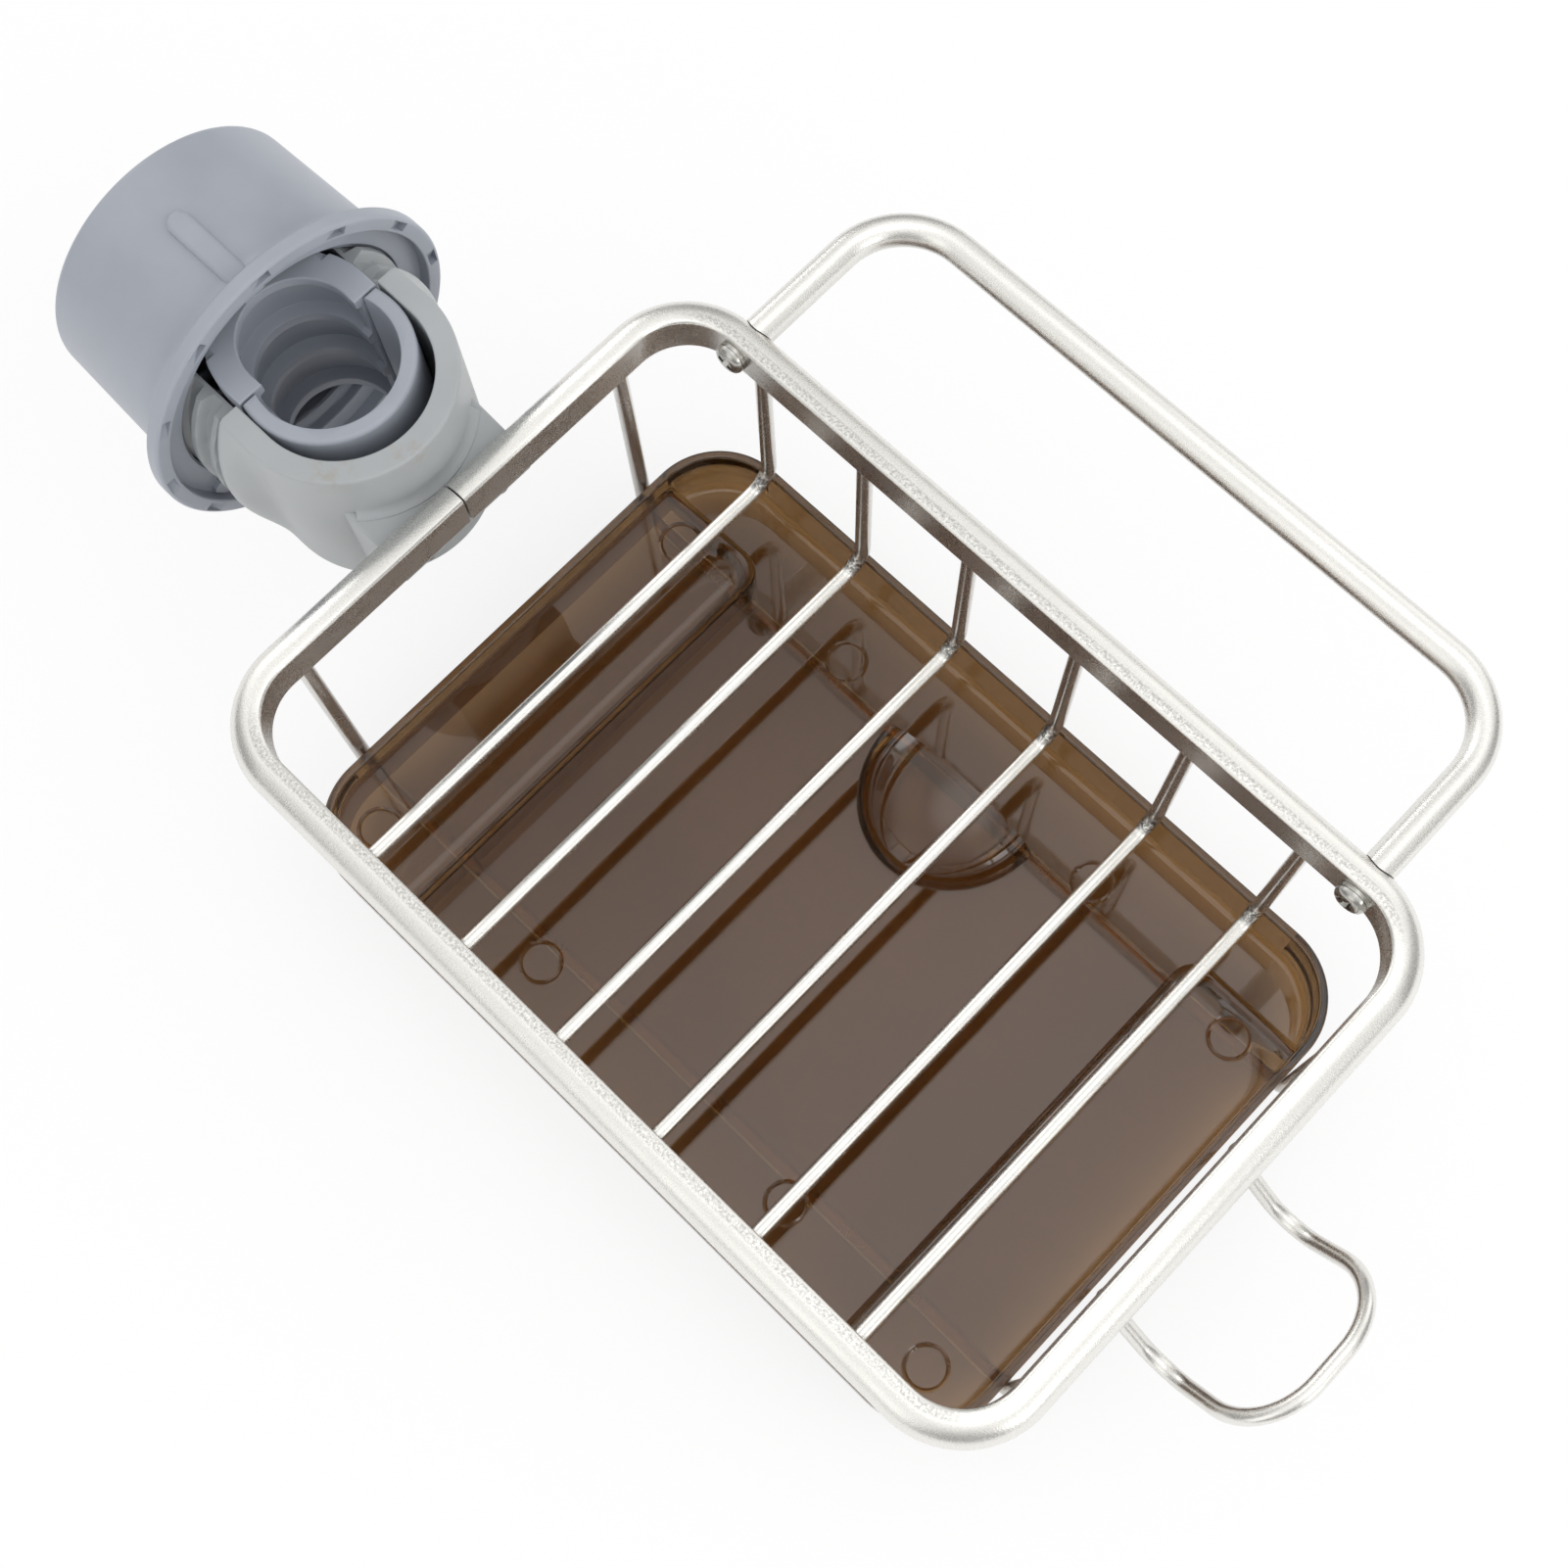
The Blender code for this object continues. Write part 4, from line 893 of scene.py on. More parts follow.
class CADDY_OT_screws(bpy.types.Operator):
    """Make the screws of the towel bar, the yoke and the jaw"""

    bl_idname = "caddy.screws"
    bl_label = "Screws"

    def execute(self, context):
        rim = context.scene.caddy_rim
        sizes = context.scene.caddy_screws
        steel = finishes()["steel"]
        names = ["towel_bar_screw_1", "towel_bar_screw_2"]
        boxes = [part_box(n) for n in names]
        low, high = boxes[0]
        seat = RIM_HIGH.y - rim.bar_depth
        screw = pan_screw("pan_screw", (high.x - low.x) / 2, seat - low.y, sizes.shank, high.y - seat,
                          washer=sizes.washer)
        points = [(x, seat, z) for x, _, z in (middle(*box) for box in boxes)]
        obj = at_points("towel_bar_screws", screw, points, (radians(20), 0.0, pi / 2))
        finish_piece(obj, "frame", steel, names)

        names = ["yoke_screw_1", "yoke_screw_2"]
        boxes = [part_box(n) for n in names]
        low, high = boxes[0]
        rise = sizes.small_head
        seat = low.z + rise
        screw = pan_screw("ledge_screw", (high.x - low.x) / 2, rise, sizes.small_shank, high.z - seat)
        points = [(x, y, seat) for x, y, _ in (middle(*box) for box in boxes)]
        obj = at_points("yoke_screws", screw, points, (0.0, -pi / 2, 0.0))
        finish_piece(obj, "frame", steel, names)

        low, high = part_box("jaw_retaining_screw")
        rise = sizes.cup_head
        screw = pan_screw("cup_screw", (high.y - low.y) / 2, rise, sizes.shank, high.x - low.x - rise)
        obj = at_points("jaw_screw", screw, [(low.x + rise, 0.0, 0.0)], (radians(30), 0.0, 0.0))
        finish_piece(obj, "jaw", steel, ["jaw_retaining_screw"])
        return {"FINISHED"}


def tooth(phase, crest, flank):
    """Height from 0 to 1 of a trapezoid tooth at a place along its pitch."""
    t = abs((phase + 0.5) % 1.0 - 0.5)
    return min(1.0, max(0.0, (crest / 2 + flank - t) / flank))


def drawn_in(outline, inset):
    """A closed outline moved inwards by an inset, corner by corner."""
    count = len(outline)
    area = sum(outline[i - 1][0] * outline[i][1] - outline[i][0] * outline[i - 1][1] for i in range(count))
    side = 1.0 if area > 0 else -1.0
    points = []
    for i, here in enumerate(outline):
        here = Vector(here)
        back = (here - Vector(outline[i - 1])).normalized()
        ahead = (Vector(outline[(i + 1) % count]) - here).normalized()
        normals = [Vector((-d.y, d.x)) * side for d in (back, ahead)]
        mitre = (normals[0] + normals[1]).normalized()
        points.append(tuple(here + mitre * inset / max(MITRE_LEAST, mitre.dot(normals[0]))))
    return points


def round_top(low, high, radius, steps=TOP_STEPS):
    """Heights and insets of a wall whose upper edge is rounded."""
    return [(low, 0.0)] + [(high - radius + radius * sin(a), radius * (1 - cos(a))) for a in quarter(steps)]


def thread_rings(c, steps):
    """Sections along the arms: a right-hand trapezoid thread behind a chamfered end."""
    arm_end = c.face_x - c.arm_length
    count = int(c.arm_length / (c.pitch / ARM_THREAD_STEPS))
    rings = []
    for i in range(count + 1):
        x = arm_end + (c.arm_length + SEAT) * i / count
        chamfer = c.ledge_step * max(0.0, 1 - (x - arm_end) / THREAD_END)
        ring = []
        for a in full_turn(steps):
            height = tooth((x - arm_end) / c.pitch - a / (2 * pi), *ARM_TOOTH)
            ring.append(turned(x, c.arm - c.arm_depth * (1 - height) - chamfer, a))
        rings.append(ring)
    return rings


def body_outline(c, z, inset):
    """The yoke's body at a height: shoulders at its face that flow into the round cradle wall."""
    wall_r = c.cradle + c.wall - inset
    shoulder = c.shoulder * sqrt(1 - (z / (c.shoulder * c.shoulder_tall)) ** 2) - inset
    soft = c.edge * MID_ROUND
    side = [(c.face_x, shoulder - c.edge), (c.face_x + soft, shoulder - soft)]
    start = c.face_x + c.edge
    for i in range(FLOW_STEPS):
        t = i / FLOW_STEPS
        side.append((start + (c.cradle_x - start) * t, wall_r + (shoulder - wall_r) * (1 + cos(pi * t)) / 2))
    wall = arc(c.cradle_x, 0, wall_r, pi / 2, -pi / 2, HALF_TURN_STEPS)
    return side + wall + [(x, -y) for x, y in reversed(side)]


def pad_fillet(c, rim_face):
    """The concave round where the cradle wall stands on the pad, swept about the cradle's axis."""
    wall_r = c.cradle + c.wall
    inside = wall_r - c.wall / 2
    turn_limit = asin((c.pad_half - c.edge) / (wall_r + c.pad_fillet))
    rings = []
    for i in range(SWEEP_STEPS + 1):
        a = turn_limit * (2 * i / SWEEP_STEPS - 1)
        slope_run = max(0.0, c.cradle_x + wall_r * cos(a) - rim_face + c.pad_length)
        foot = c.pad_top - c.pad_slope * slope_run / c.pad_length - SEAT / 2
        section = [(inside, foot - c.pad_fillet), (wall_r + c.pad_fillet, foot - c.pad_fillet)]
        section += [(wall_r + c.pad_fillet * (1 - sin(b)), foot + c.pad_fillet * (1 - cos(b)))
                    for b in quarter(FILLET_STEPS)]
        section.append((inside, foot + c.pad_fillet))
        rings.append([Vector((c.cradle_x + r * cos(a), r * sin(a), z)) for r, z in section])
    return skin("pad_fillet", rings)


class CADDY_OT_yoke(bpy.types.Operator):
    """Make the yoke: threaded arms, shouldered body, cradle and rim pad"""

    bl_idname = "caddy.yoke"
    bl_label = "Yoke"

    def execute(self, context):
        c = context.scene.caddy_clamp
        rim = context.scene.caddy_rim
        yoke = skin("yoke_moulding", thread_rings(c, context.scene.caddy_finishes.facets))
        reach = 2 * c.arm
        room = [(-reach, -reach), (reach, -reach), (reach, reach), (-reach, reach)]
        boolean(yoke, prism("arm_flats", room, -c.arm_flat, c.arm_flat), "INTERSECT")

        top = round_top(0.0, c.half_height, c.edge)[1:]
        foot = [(-z, inset) for z, inset in reversed(top)]
        low, run = -c.half_height + c.edge, 2 * (c.half_height - c.edge)
        straight = [(low + run * i / SECTION_STEPS, 0.0) for i in range(1, SECTION_STEPS)]
        body = skin("body", [raised(body_outline(c, z, inset), z) for z, inset in foot + straight + top])
        boolean(yoke, body, "UNION")

        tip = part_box("clamp_yoke")[1].x
        rim_face = RIM_LOW.x
        under = RIM_LOW.z - SEAT - c.ledge
        rest = c.pad_top - c.pad_slope
        step = c.ledge_step
        pad = [(c.cradle_x, c.pad_top), (rim_face - c.pad_length, c.pad_top), (rim_face, rest), (tip, rest),
               (tip, under), (rim_face - step, under), (rim_face - 3 * step, -c.pad_depth),
               (c.cradle_x, -c.pad_depth)]
        sides = round_top(0.0, c.pad_half, c.edge)[1:]
        sides = [(-y, inset) for y, inset in reversed(sides)] + sides
        rings = [[Vector((x, y, z)) for x, z in drawn_in(pad, inset)] for y, inset in sides]
        boolean(yoke, skin("rim_pad", rings), "UNION")
        boolean(yoke, pad_fillet(c, rim_face), "UNION")

        high = c.half_height + c.arm
        way = c.insert_end + SEAT
        far = c.face_x - c.arm_length - CLEARANCE
        through = arc(0, 0, c.lip, -pi / 2, pi / 2, LIP_STEPS)
        through += [(way, c.lip), (way, c.cradle), (far, c.cradle), (far, -c.cradle), (way, -c.cradle),
                    (way, -c.lip)]
        boolean(yoke, prism("pipe_way", through, -high, high))
        pocket = arc(c.cradle_x, 0, c.cradle, -pi / 2, pi / 2, HALF_TURN_STEPS)
        pocket += [(far, c.cradle), (far, -c.cradle)]
        levels = [(-c.half_height + c.lip_height, 0.0), (c.half_height - c.crisp, 0.0),
                  (c.half_height, -c.crisp), (high, -c.crisp)]
        boolean(yoke, skin("pocket", [raised(drawn_in(pocket, inset), z) for z, inset in levels]))
        boolean(yoke, rim_room(rim, RIM_FIT))
        last = HOLE_SIDES - 1
        for name in ("yoke_screw_1", "yoke_screw_2"):
            x, y, _ = middle(*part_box(name))
            hole = arc(x, y, context.scene.caddy_screws.hole, 0, 2 * pi * last / HOLE_SIDES, last)
            boolean(yoke, prism("screw_hole", hole, under - LEDGE_CUT, RIM_Z))
        finish_piece(yoke, "frame", finishes()["light"], ["clamp_yoke"], sharp=30)
        return {"FINISHED"}


class CADDY_OT_insert(bpy.types.Operator):
    """Make the loose half ring in the cradle"""

    bl_idname = "caddy.insert"
    bl_label = "Insert"

    def execute(self, context):
        c = context.scene.caddy_clamp
        low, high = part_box("half_ring_insert")
        rings = []
        for z, inset in round_top(low.z, high.z, c.insert_round, FILLET_STEPS):
            drawn = inset / c.insert_round
            outer = c.cradle - SEAT - inset
            bore = c.insert_bore + c.crisp * drawn
            end = c.insert_end + c.crisp * drawn
            a, b = acos(end / outer), acos(end / bore)
            outline = arc(0, 0, outer, -a, a, ROUND_SIDES) + arc(0, 0, bore, b, -b, ROUND_SIDES)
            rings.append(raised(outline, z))
        obj = skin("insert_half_ring", rings)
        finish_piece(obj, "insert", finishes()["blue"], ["half_ring_insert"], sharp=38)
        return {"FINISHED"}


def jaw_outline(c, end, half, depth, inset):
    """The jaw at a height: groove depth behind the plates, and how far its edges are drawn in."""
    tip = end - inset
    width = half - inset
    back = c.jaw_back + half
    bore = c.jaw_bore + inset
    land = end - c.post - inset
    post = bore + c.post_depth * depth / c.groove_depth
    outside = arc(back, 0, width, pi / 2, 3 * pi / 2, HALF_TURN_STEPS)
    inside = arc(c.jaw_bore_x, 0, bore + depth, 3 * pi / 2, pi / 2, HALF_TURN_STEPS)
    return ([(tip, width)] + outside + [(tip, -width), (tip, -post), (land, -post), (land, -bore - depth)]
            + inside + [(land, bore + depth), (land, post), (tip, post)])


def jaw_levels(c, edge):
    """Heights, groove depths and insets from the jaw's foot to its top."""
    plate_depth = 0.00003
    top = [(z, plate_depth, inset) for z, inset in round_top(0.0, c.half_height, edge)[1:]]
    levels = [(-z, depth, inset) for z, depth, inset in reversed(top)]
    pitch = c.groove_height + c.plate
    first = -(c.grooves * pitch - c.plate) / 2
    soft = edge * MID_ROUND
    for i in range(c.grooves):
        z0 = first + i * pitch
        z1 = z0 + c.groove_height
        lead = [(z0 - edge, plate_depth), (z0 - soft, soft), (z0, edge), (z0 + soft, c.groove_depth * 0.6),
                (z0 + edge, c.groove_depth)]
        levels += [(z, depth, 0.0) for z, depth in lead]
        levels += [(z0 + z1 - z, depth, 0.0) for z, depth in reversed(lead)]
    return levels + top


class CADDY_OT_jaw(bpy.types.Operator):
    """Make the grooved jaw with its stem"""

    bl_idname = "caddy.jaw"
    bl_label = "Jaw"

    def execute(self, context):
        c = context.scene.caddy_clamp
        cup = context.scene.caddy_cup
        hole = context.scene.caddy_screws.cup_hole
        low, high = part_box("thrust_jaw")
        rings = [raised(jaw_outline(c, high.x, high.y, depth, inset), z)
                 for z, depth, inset in jaw_levels(c, c.edge * 0.7)]
        jaw = skin("grooved_jaw", rings)
        mouth = CUP_HIGH.x - cup.mouth_depth
        inside_thread = c.arm - cup.depth - HAIR
        outside = high.y + c.half_height
        room = [(CUP_LOW.x, inside_thread), (mouth, inside_thread), (mouth, outside), (c.cradle_x, outside)]
        boolean(jaw, turned_body("cup_room", room, ROUND_SIDES), "INTERSECT")
        stem = [(low.x, c.stem - STEM_BREAK), (low.x + STEM_BREAK, c.stem), (c.jaw_back + c.stem / 2, c.stem)]
        boolean(jaw, turned_body("stem", stem, STEM_SIDES), "UNION")
        screw_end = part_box("jaw_retaining_screw")[1].x
        way = [(low.x - SEAT, hole), (screw_end + SEAT, hole)]
        boolean(jaw, turned_body("stem_hole", way, HOLE_SIDES))
        finish_piece(jaw, "jaw", finishes()["blue"], ["thrust_jaw"], sharp=38)
        return {"FINISHED"}


def cup_profile(cup, bore, hole):
    """The cup as (along, radius): from the mouth over the flange and the closed end to the bore."""
    face, end = CUP_HIGH.x, CUP_LOW.x
    back = face - cup.thickness
    foot = cup.flange - EDGE_BREAK
    r = cup.flange_round
    profile = [(face, cup.mouth + MOUTH_BREAK)]
    profile += [(face - r + r * cos(a), cup.flange - r + r * sin(a)) for a in quarter(TOP_STEPS)]
    profile += [(back + EDGE_BREAK, cup.flange), (back, foot)]
    profile += [(back - cup.flare * (1 - cos(a)), foot - (foot - cup.radius) * sin(a))
                for a in quarter(BEND_STEPS)[1:]]
    profile += arc(end + cup.round, cup.end_radius - cup.round, cup.round, pi / 2, pi, FOOT_STEPS)
    seat = end + cup.recess_depth
    boss = seat + cup.boss
    boss_r = cup.recess + cup.boss
    inner = end + cup.wall
    return profile + [(end, cup.recess + EDGE_BREAK), (end + EDGE_BREAK, cup.recess), (seat, cup.recess),
                      (seat, hole), (boss, hole), (boss, boss_r), (inner, boss_r), (inner, bore - cup.round),
                      (inner + cup.round, bore)]


def cup_rings(c, cup, hole, steps):
    """The cup's profiles round its axis, each with the bore's thread as it stands there."""
    bore = c.arm + cup.fit
    profile = cup_profile(cup, bore, hole)
    arm_end = c.face_x - c.arm_length
    ledge = CUP_HIGH.x - cup.mouth_depth
    start, stop = profile[-1][0], ledge - MOUTH_BREAK
    count = int((stop - start) / (c.pitch / CUP_THREAD_STEPS))
    rings = []
    for a in full_turn(steps):
        ring = [turned(x, r, a) for x, r in profile]
        for i in range(count):
            x = start + (stop - start) * (i + 1) / count
            phase = (x - arm_end) / c.pitch - a / (2 * pi) + 0.5
            fade = min(1.0, (x - start) / THREAD_START, (stop - x) / THREAD_END)
            ring.append(turned(x, bore - cup.depth * fade * tooth(phase, *CUP_TOOTH), a))
        ring += [turned(ledge, bore + HAIR, a), turned(ledge, cup.mouth, a),
                 turned(CUP_HIGH.x - MOUTH_BREAK, cup.mouth, a)]
        rings.append(ring)
    return rings


class CADDY_OT_cup(bpy.types.Operator):
    """Make the screw cup with its flange, grip ribs, pockets and thread"""

    bl_idname = "caddy.cup"
    bl_label = "Cup"

    def execute(self, context):
        c = context.scene.caddy_clamp
        cup = context.scene.caddy_cup
        hole = context.scene.caddy_screws.cup_hole
        face = CUP_HIGH.x
        rings = cup_rings(c, cup, hole, context.scene.caddy_finishes.facets)
        moulding = skin("screw_cup_moulding", rings, closed=True)

        half = cup.rib_width / 2
        root = face - cup.thickness / 2
        tip = root - cup.rib_length + half
        rings = []
        for z, inset in round_top(cup.radius - RIB_ROOT, cup.radius + cup.rib_rise, cup.rib_rise * 0.9):
            r = half - inset
            end = arc(tip, 0, r, pi / 2, 3 * pi / 2, RIB_STEPS)
            rings.append(raised([(root, r)] + end + [(root, -r)], z))
        boolean(moulding, ring_of("grip_ribs", skin("grip_rib", rings), cup.ribs, cup.rib_turn), "UNION")
        centre = (cup.mouth + cup.flange) / 2
        long, deep, wide = cup.pocket_length / 2, cup.pocket_depth, cup.pocket_width / 2
        wedge = [(face, -long), (face + deep, -long), (face + deep, long), (face - deep, long)]
        pocket = prism("pocket", wedge, centre - wide, centre + wide)
        boolean(moulding, ring_of("pockets", pocket, cup.pockets, 0.0))
        finish_piece(moulding, "cup", finishes()["blue"], ["screw_cup"], sharp=38)
        return {"FINISHED"}


def tray_rings(half_x, half_y, corner, levels, low):
    """Rounded rectangles about the tray's middle, at levels of (height, inset)."""
    rings = []
    for z, inset in levels:
        points = []
        for k, (sx, sy) in enumerate(((1, 1), (-1, 1), (-1, -1), (1, -1))):
            points += arc(RIM_X + sx * (half_x - corner), sy * (half_y - corner), corner - inset,
                          k * pi / 2, (k + 1) * pi / 2, CORNER_STEPS)
        rings.append(raised(points, low + z))
    return rings


def round_low(radius, steps=FOOT_STEPS):
    """Heights and insets of a wall that starts in a round foot."""
    return [(radius - radius * cos(a), radius * (1 - sin(a))) for a in quarter(steps)]


def shelf_rings(tray, side, low, high, inset, reach, edge):
    """The raised end shelf: its long inner edge and free corner are rounded over."""
    half_x = (TRAY_HIGH.x - TRAY_LOW.x) / 2
    half_y = (TRAY_HIGH.y - TRAY_LOW.y) / 2
    corner = tray.shelf_corner
    x_wall = half_x - reach
    x_foot = half_x - tray.shelf + inset
    y_free = half_y - tray.channel - inset
    y_wall = -half_y + reach
    rings = []
    for z, draw in round_top(low, high, edge, SHELF_TOP_STEPS):
        left, top = x_foot + draw, y_free - draw
        free = arc(left + corner, top - corner, corner, pi / 2, pi, SHELF_STEPS)
        far = arc(x_wall - tray.corner + reach, y_wall + tray.corner - reach, tray.corner - reach, -pi / 2, 0,
                  SHELF_STEPS)
        outline = [(x_wall, top)] + free + [(left, y_wall)] + far
        rings.append([Vector((RIM_X + side * x, y, z)) for x, y in outline])
    return rings


def dome_rings(tray, base, below, inset):
    """A quarter of an egg with its flat side towards the towel bar, built from sections along X."""
    rings = []
    flat = tray.dome_y - inset
    reach = tray.dome_reach - 2 * inset
    half = tray.dome_half - inset
    for i in range(SWEEP_STEPS + 1):
        a = (2 * i / SWEEP_STEPS - 1) * DOME_TURN
        ring = [(flat, base - below)]
        ring += [(flat - reach * cos(a) * sin(b), base + tray.dome_rise * cos(a) * cos(b))
                 for b in quarter(DOME_STEPS)]
        ring.append((flat - reach * cos(a), base - below))
        rings.append([Vector((RIM_X + tray.dome_x + half * sin(a), y, z)) for y, z in ring])
    return rings


def mark_ring(tray):
    """A ring that cuts one round mark's line."""
    inner = tray.mark - tray.mark_edge
    section = [(tray.mark, tray.mark_depth), (tray.mark, 0.0), ((tray.mark + inner) / 2, -tray.mark_depth),
               (inner, 0.0), (inner, tray.mark_depth)]
    rings = [[Vector((r * cos(a), r * sin(a), h)) for r, h in section] for a in full_turn(MARK_SIDES)]
    return skin("mark", rings, closed=True)


class CADDY_OT_tray(bpy.types.Operator):
    """Make the translucent drip tray"""

    bl_idname = "caddy.tray"
    bl_label = "Drip Tray"

    def execute(self, context):
        t = context.scene.caddy_tray
        half_x = (TRAY_HIGH.x - TRAY_LOW.x) / 2
        half_y = (TRAY_HIGH.y - TRAY_LOW.y) / 2
        height = TRAY_HIGH.z - TRAY_LOW.z
        levels = round_low(t.foot) + round_top(0.0, height, t.brim)[1:]
        tray = skin("drip_tray_moulding", tray_rings(half_x, half_y, t.corner, levels, TRAY_LOW.z))
        floor_z = TRAY_LOW.z + t.wall
        depth = height - t.wall
        levels = round_low(t.inner_foot, INNER_FOOT_STEPS)
        levels += [(z, -inset) for z, inset in round_top(0.0, depth, t.brim)[1:]]
        levels.append((depth + t.wall, -t.brim))
        rings = tray_rings(half_x - t.wall, half_y - t.wall, t.corner - t.wall, levels, floor_z)
        boolean(tray, skin("cavity", rings))
        shelf_top = floor_z + t.shelf_rise
        below = TRAY_LOW.z - t.wall
        for side in (1, -1):
            solid = shelf_rings(t, side, floor_z - t.wall / 2, shelf_top, 0.0, t.wall / 2, t.shelf_round)
            boolean(tray, skin("shelf", solid), "UNION")
            hollow = shelf_rings(t, side, below, shelf_top - t.wall, t.wall, t.wall, t.shelf_round - t.wall)
            boolean(tray, skin("shelf_hollow", hollow))
        boolean(tray, skin("dome", dome_rings(t, floor_z, t.wall / 2, 0.0)), "UNION")
        boolean(tray, skin("dome_hollow", dome_rings(t, TRAY_LOW.z, t.wall, t.wall)))

        on_floor = [(sx * t.mark_x, sy * t.mark_y) for sx in (-1, 1) for sy in (-1, 1)]
        on_shelves = [(sx * t.shelf_mark_x, y) for sx in (-1, 1)
                      for y in (t.shelf_mark_low, t.shelf_mark_high)]
        for z, places in ((floor_z, on_floor), (shelf_top, on_shelves)):
            boolean(tray, at_points("marks", mark_ring(t), [(RIM_X + x, y, z) for x, y in places]))
        finish_piece(tray, "tray", finishes()["smoke"], ["drip_tray"], sharp=38)
        return {"FINISHED"}


def make_floor():
    """A white floor that the camera sees nearly plain, with a soft shadow."""
    mesh = bpy.data.meshes.new("floor")
    level = CAD_BOX[0].z - FLOOR_GAP
    corners = ((-1, -1), (1, -1), (1, 1), (-1, 1))
    mesh.from_pydata([(x * FLOOR_REACH, y * FLOOR_REACH, level) for x, y in corners], [], [(0, 1, 2, 3)])
    ground = link("floor", mesh)
    mat, n, bsdf = new_material("studio_white")
    rays = n.add("ShaderNodeLightPath").outputs
    seen = n.math("MAXIMUM", rays["Is Camera Ray"], rays["Is Glossy Ray"])
    seen = n.math("MAXIMUM", seen, rays["Is Transmission Ray"])
    diffuse = n.add("ShaderNodeBsdfDiffuse", {"Color": n.mapped(seen, 0.0, 1.0, FLOOR_TONE, 1.0)})
    paper = n.add("ShaderNodeEmission", {"Color": WHITE, "Strength": 1.0})
    lift = n.math("MULTIPLY", rays["Is Camera Ray"], FLOOR_WHITE)
    surface = n.add("ShaderNodeMixShader", {0: lift, 1: diffuse.outputs[0], 2: paper.outputs[0]})
    n.feed(n.tree.nodes["Material Output"], {"Surface": surface.outputs[0]})
    n.tree.nodes.remove(bsdf)
    mesh.materials.append(mat)


def make_world(scene):
    """A soft room: plain white to the camera, walls with darker corners and bright boxes to the gloss."""
    world = bpy.data.worlds.new("studio")
    world.use_nodes = True
    scene.world = world
    n = Nodes(world.node_tree)
    way = n.add("ShaderNodeTexCoord").outputs["Generated"]
    up = n.add("ShaderNodeSeparateXYZ", {"Vector": way}).outputs
    even = tones(n, up["Z"], (1.12, 1.12, 1.11), (0.72, 0.72, 0.72), 0.0, 0.95)
    walls = tones(n, up["Z"], (1.34, 1.34, 1.32), (1.05, 1.05, 1.04), 0.50, 0.80)
    walls = n.mixed(1.0, walls, n.mapped(up["Z"], 0.0, 0.22, 0.35, 1.0), blend_type="MULTIPLY")
    across = n.math("ABSOLUTE", n.math("MULTIPLY", up["X"], up["Y"]))
    corners = n.mapped(across, 0.12, 0.38, 1.0, 0.34, interpolation_type="SMOOTHSTEP")
    walls = n.mixed(1.0, walls, corners, blend_type="MULTIPLY")
    for place, inner, outer, tone in LIGHT_BOXES:
        ahead = tuple(Vector(place).normalized())
        facing = n.add("ShaderNodeVectorMath", {0: way, 1: ahead}, operation="DOT_PRODUCT").outputs["Value"]
        box = n.mapped(facing, cos(radians(outer)), cos(radians(inner)), interpolation_type="SMOOTHSTEP")
        walls = n.mixed(box, walls, (tone, tone, tone, 1.0))
    rays = n.add("ShaderNodeLightPath").outputs
    seen = n.mixed(rays["Is Glossy Ray"], even, walls)
    seen = n.mixed(rays["Is Camera Ray"], seen, WHITE)
    n.feed(n.tree.nodes["Background"], {"Color": seen, "Strength": 1.0})


def make_lamps():
    """Two soft lamps that the gloss doesn't see."""
    for name, place, width, power in LAMPS:
        lamp = bpy.data.lights.new(name, "AREA")
        lamp.shape = "SQUARE"
        lamp.size = width
        lamp.energy = power
        obj = link(name, lamp)
        obj.location = place
        obj.rotation_mode = "QUATERNION"
        obj.rotation_quaternion = (Vector(LAMP_TARGET) - Vector(place)).to_track_quat("-Z", "Y")
        obj.visible_glossy = False


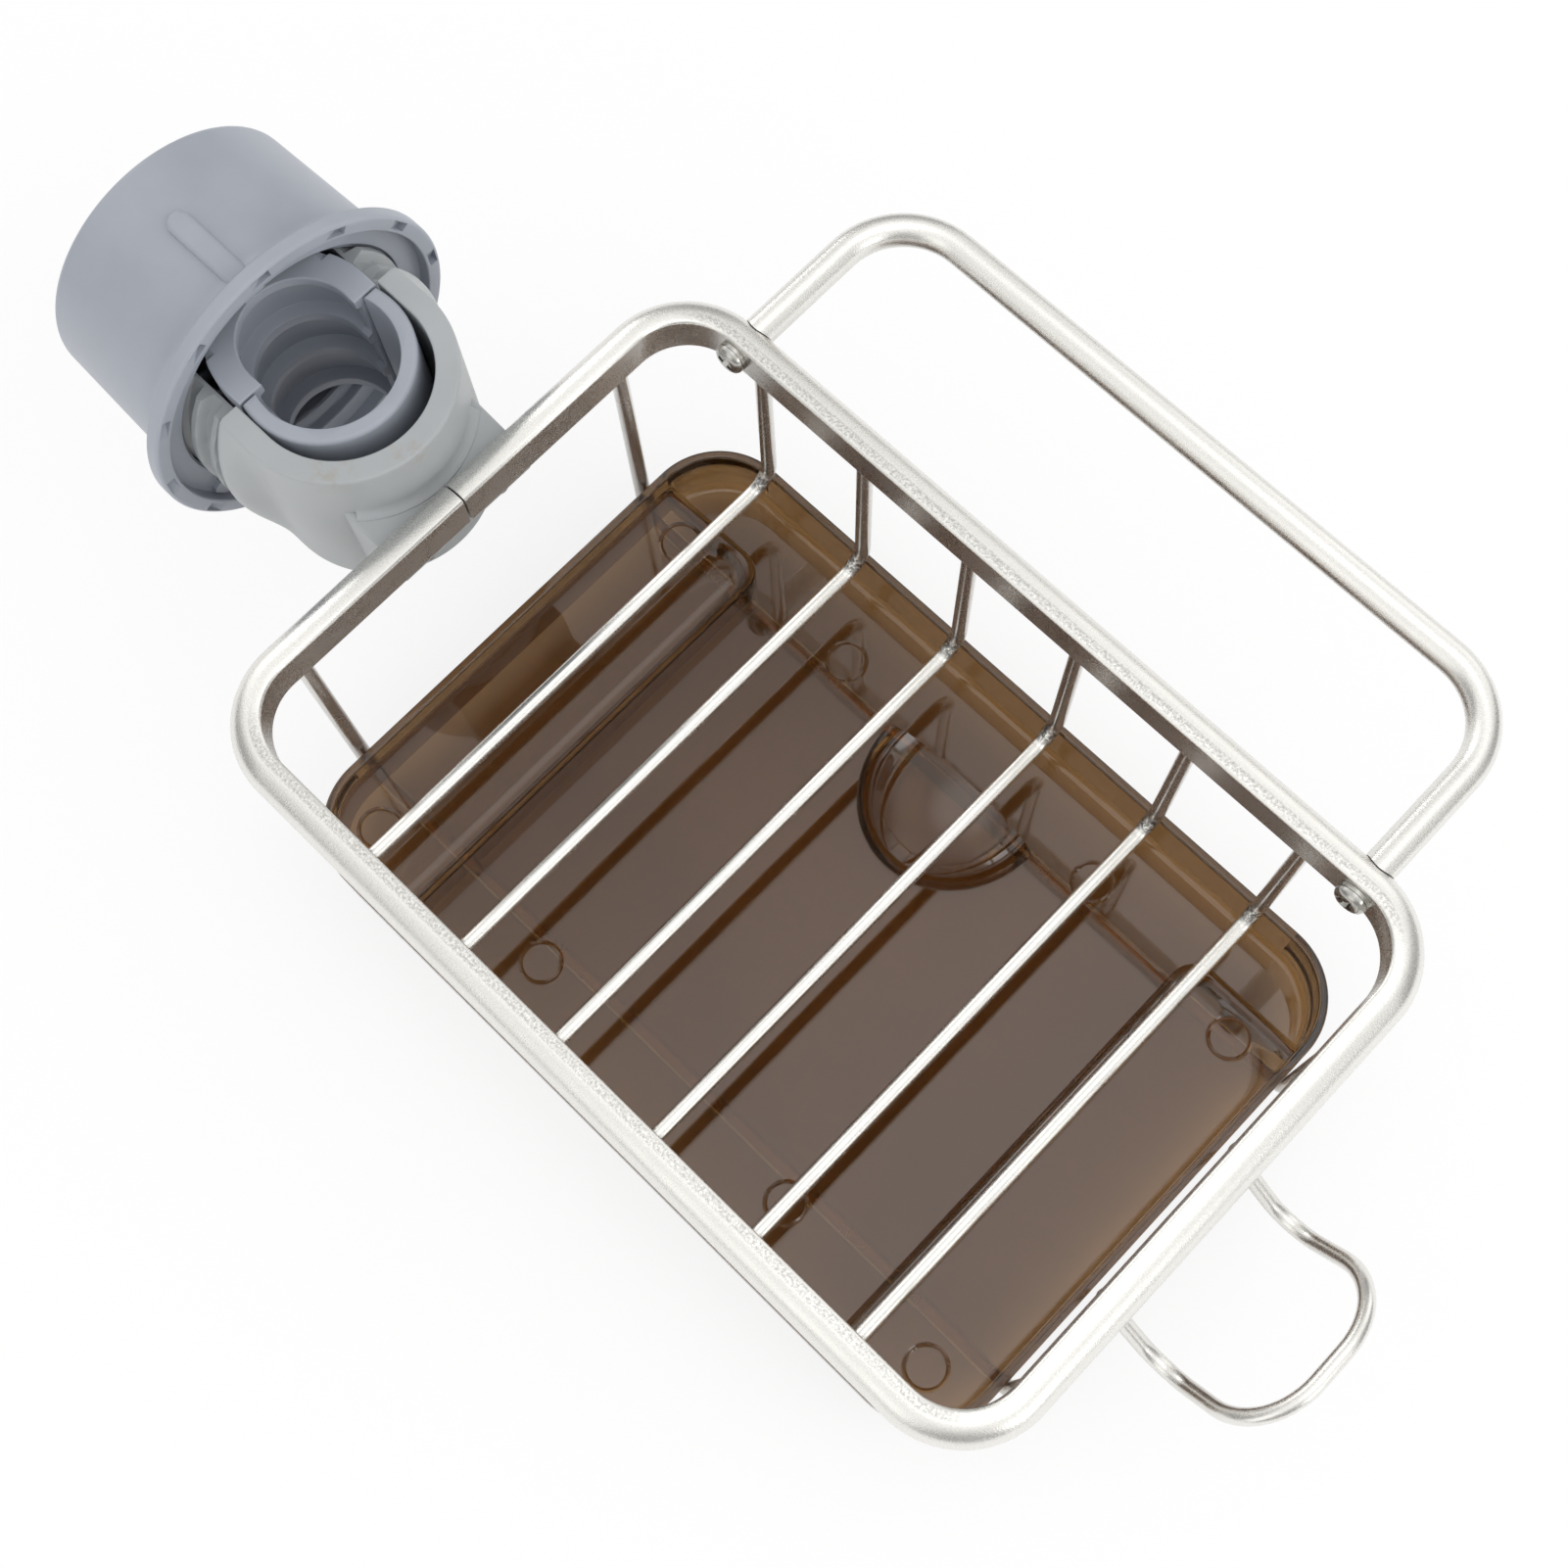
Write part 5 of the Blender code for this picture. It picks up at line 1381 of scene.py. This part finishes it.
def make_camera(scene):
    """The camera as it stood for the photo."""
    camera = bpy.data.cameras.new("camera")
    camera.sensor_width = SENSOR_WIDTH
    camera.lens = FOCAL_PIXELS / PHOTO_WIDTH * SENSOR_WIDTH
    camera.clip_start = 0.01
    obj = link("camera", camera)
    obj.location = (RIM_X + EYE[0], EYE[1], RIM_Z + EYE[2])
    obj.rotation_euler = [radians(a) for a in VIEW_TURN]
    scene.camera = obj
    scene.view_settings.view_transform = "Standard"


class CADDY_OT_stage(bpy.types.Operator):
    """Make the floor, the soft light and the camera"""

    bl_idname = "caddy.stage"
    bl_label = "Stage"

    def execute(self, context):
        make_floor()
        make_world(context.scene)
        make_lamps()
        make_camera(context.scene)
        return {"FINISHED"}


class CADDY_PT_panel(bpy.types.Panel):
    """Lists the caddy's sizes, colours and steps"""

    bl_label = "Sink Caddy"
    bl_idname = "CADDY_PT_panel"
    bl_space_type = "VIEW_3D"
    bl_region_type = "UI"
    bl_category = "Caddy"

    def draw(self, context):
        layout = self.layout
        scene = context.scene
        for name, _ in GROUPS:
            group = getattr(scene, name)
            box = layout.box()
            for key in group.__annotations__:
                box.prop(group, key)
        for step in STEPS:
            layout.operator(step.bl_idname)


GROUPS = (("caddy_rim", RimSizes), ("caddy_screws", ScrewSizes), ("caddy_clamp", ClampSizes),
          ("caddy_cup", CupSizes), ("caddy_tray", TraySizes), ("caddy_finishes", CaddyFinishes))
STEPS = (CADDY_OT_rim, CADDY_OT_wires, CADDY_OT_towel_bar, CADDY_OT_screws, CADDY_OT_yoke, CADDY_OT_insert,
         CADDY_OT_jaw, CADDY_OT_cup, CADDY_OT_tray, CADDY_OT_stage)


def register():
    for _, group in GROUPS:
        bpy.utils.register_class(group)
    for cls in STEPS + (CADDY_PT_panel,):
        bpy.utils.register_class(cls)
    for name, group in GROUPS:
        setattr(bpy.types.Scene, name, PointerProperty(type=group))


def unregister():
    for name, _ in GROUPS:
        delattr(bpy.types.Scene, name)
    for cls in (CADDY_PT_panel,) + STEPS[::-1]:
        bpy.utils.unregister_class(cls)
    for _, group in GROUPS[::-1]:
        bpy.utils.unregister_class(group)


def main():
    register()
    for step in STEPS:
        group, name = step.bl_idname.split(".")
        getattr(getattr(bpy.ops, group), name)()


if __name__ == "__main__":
    main()
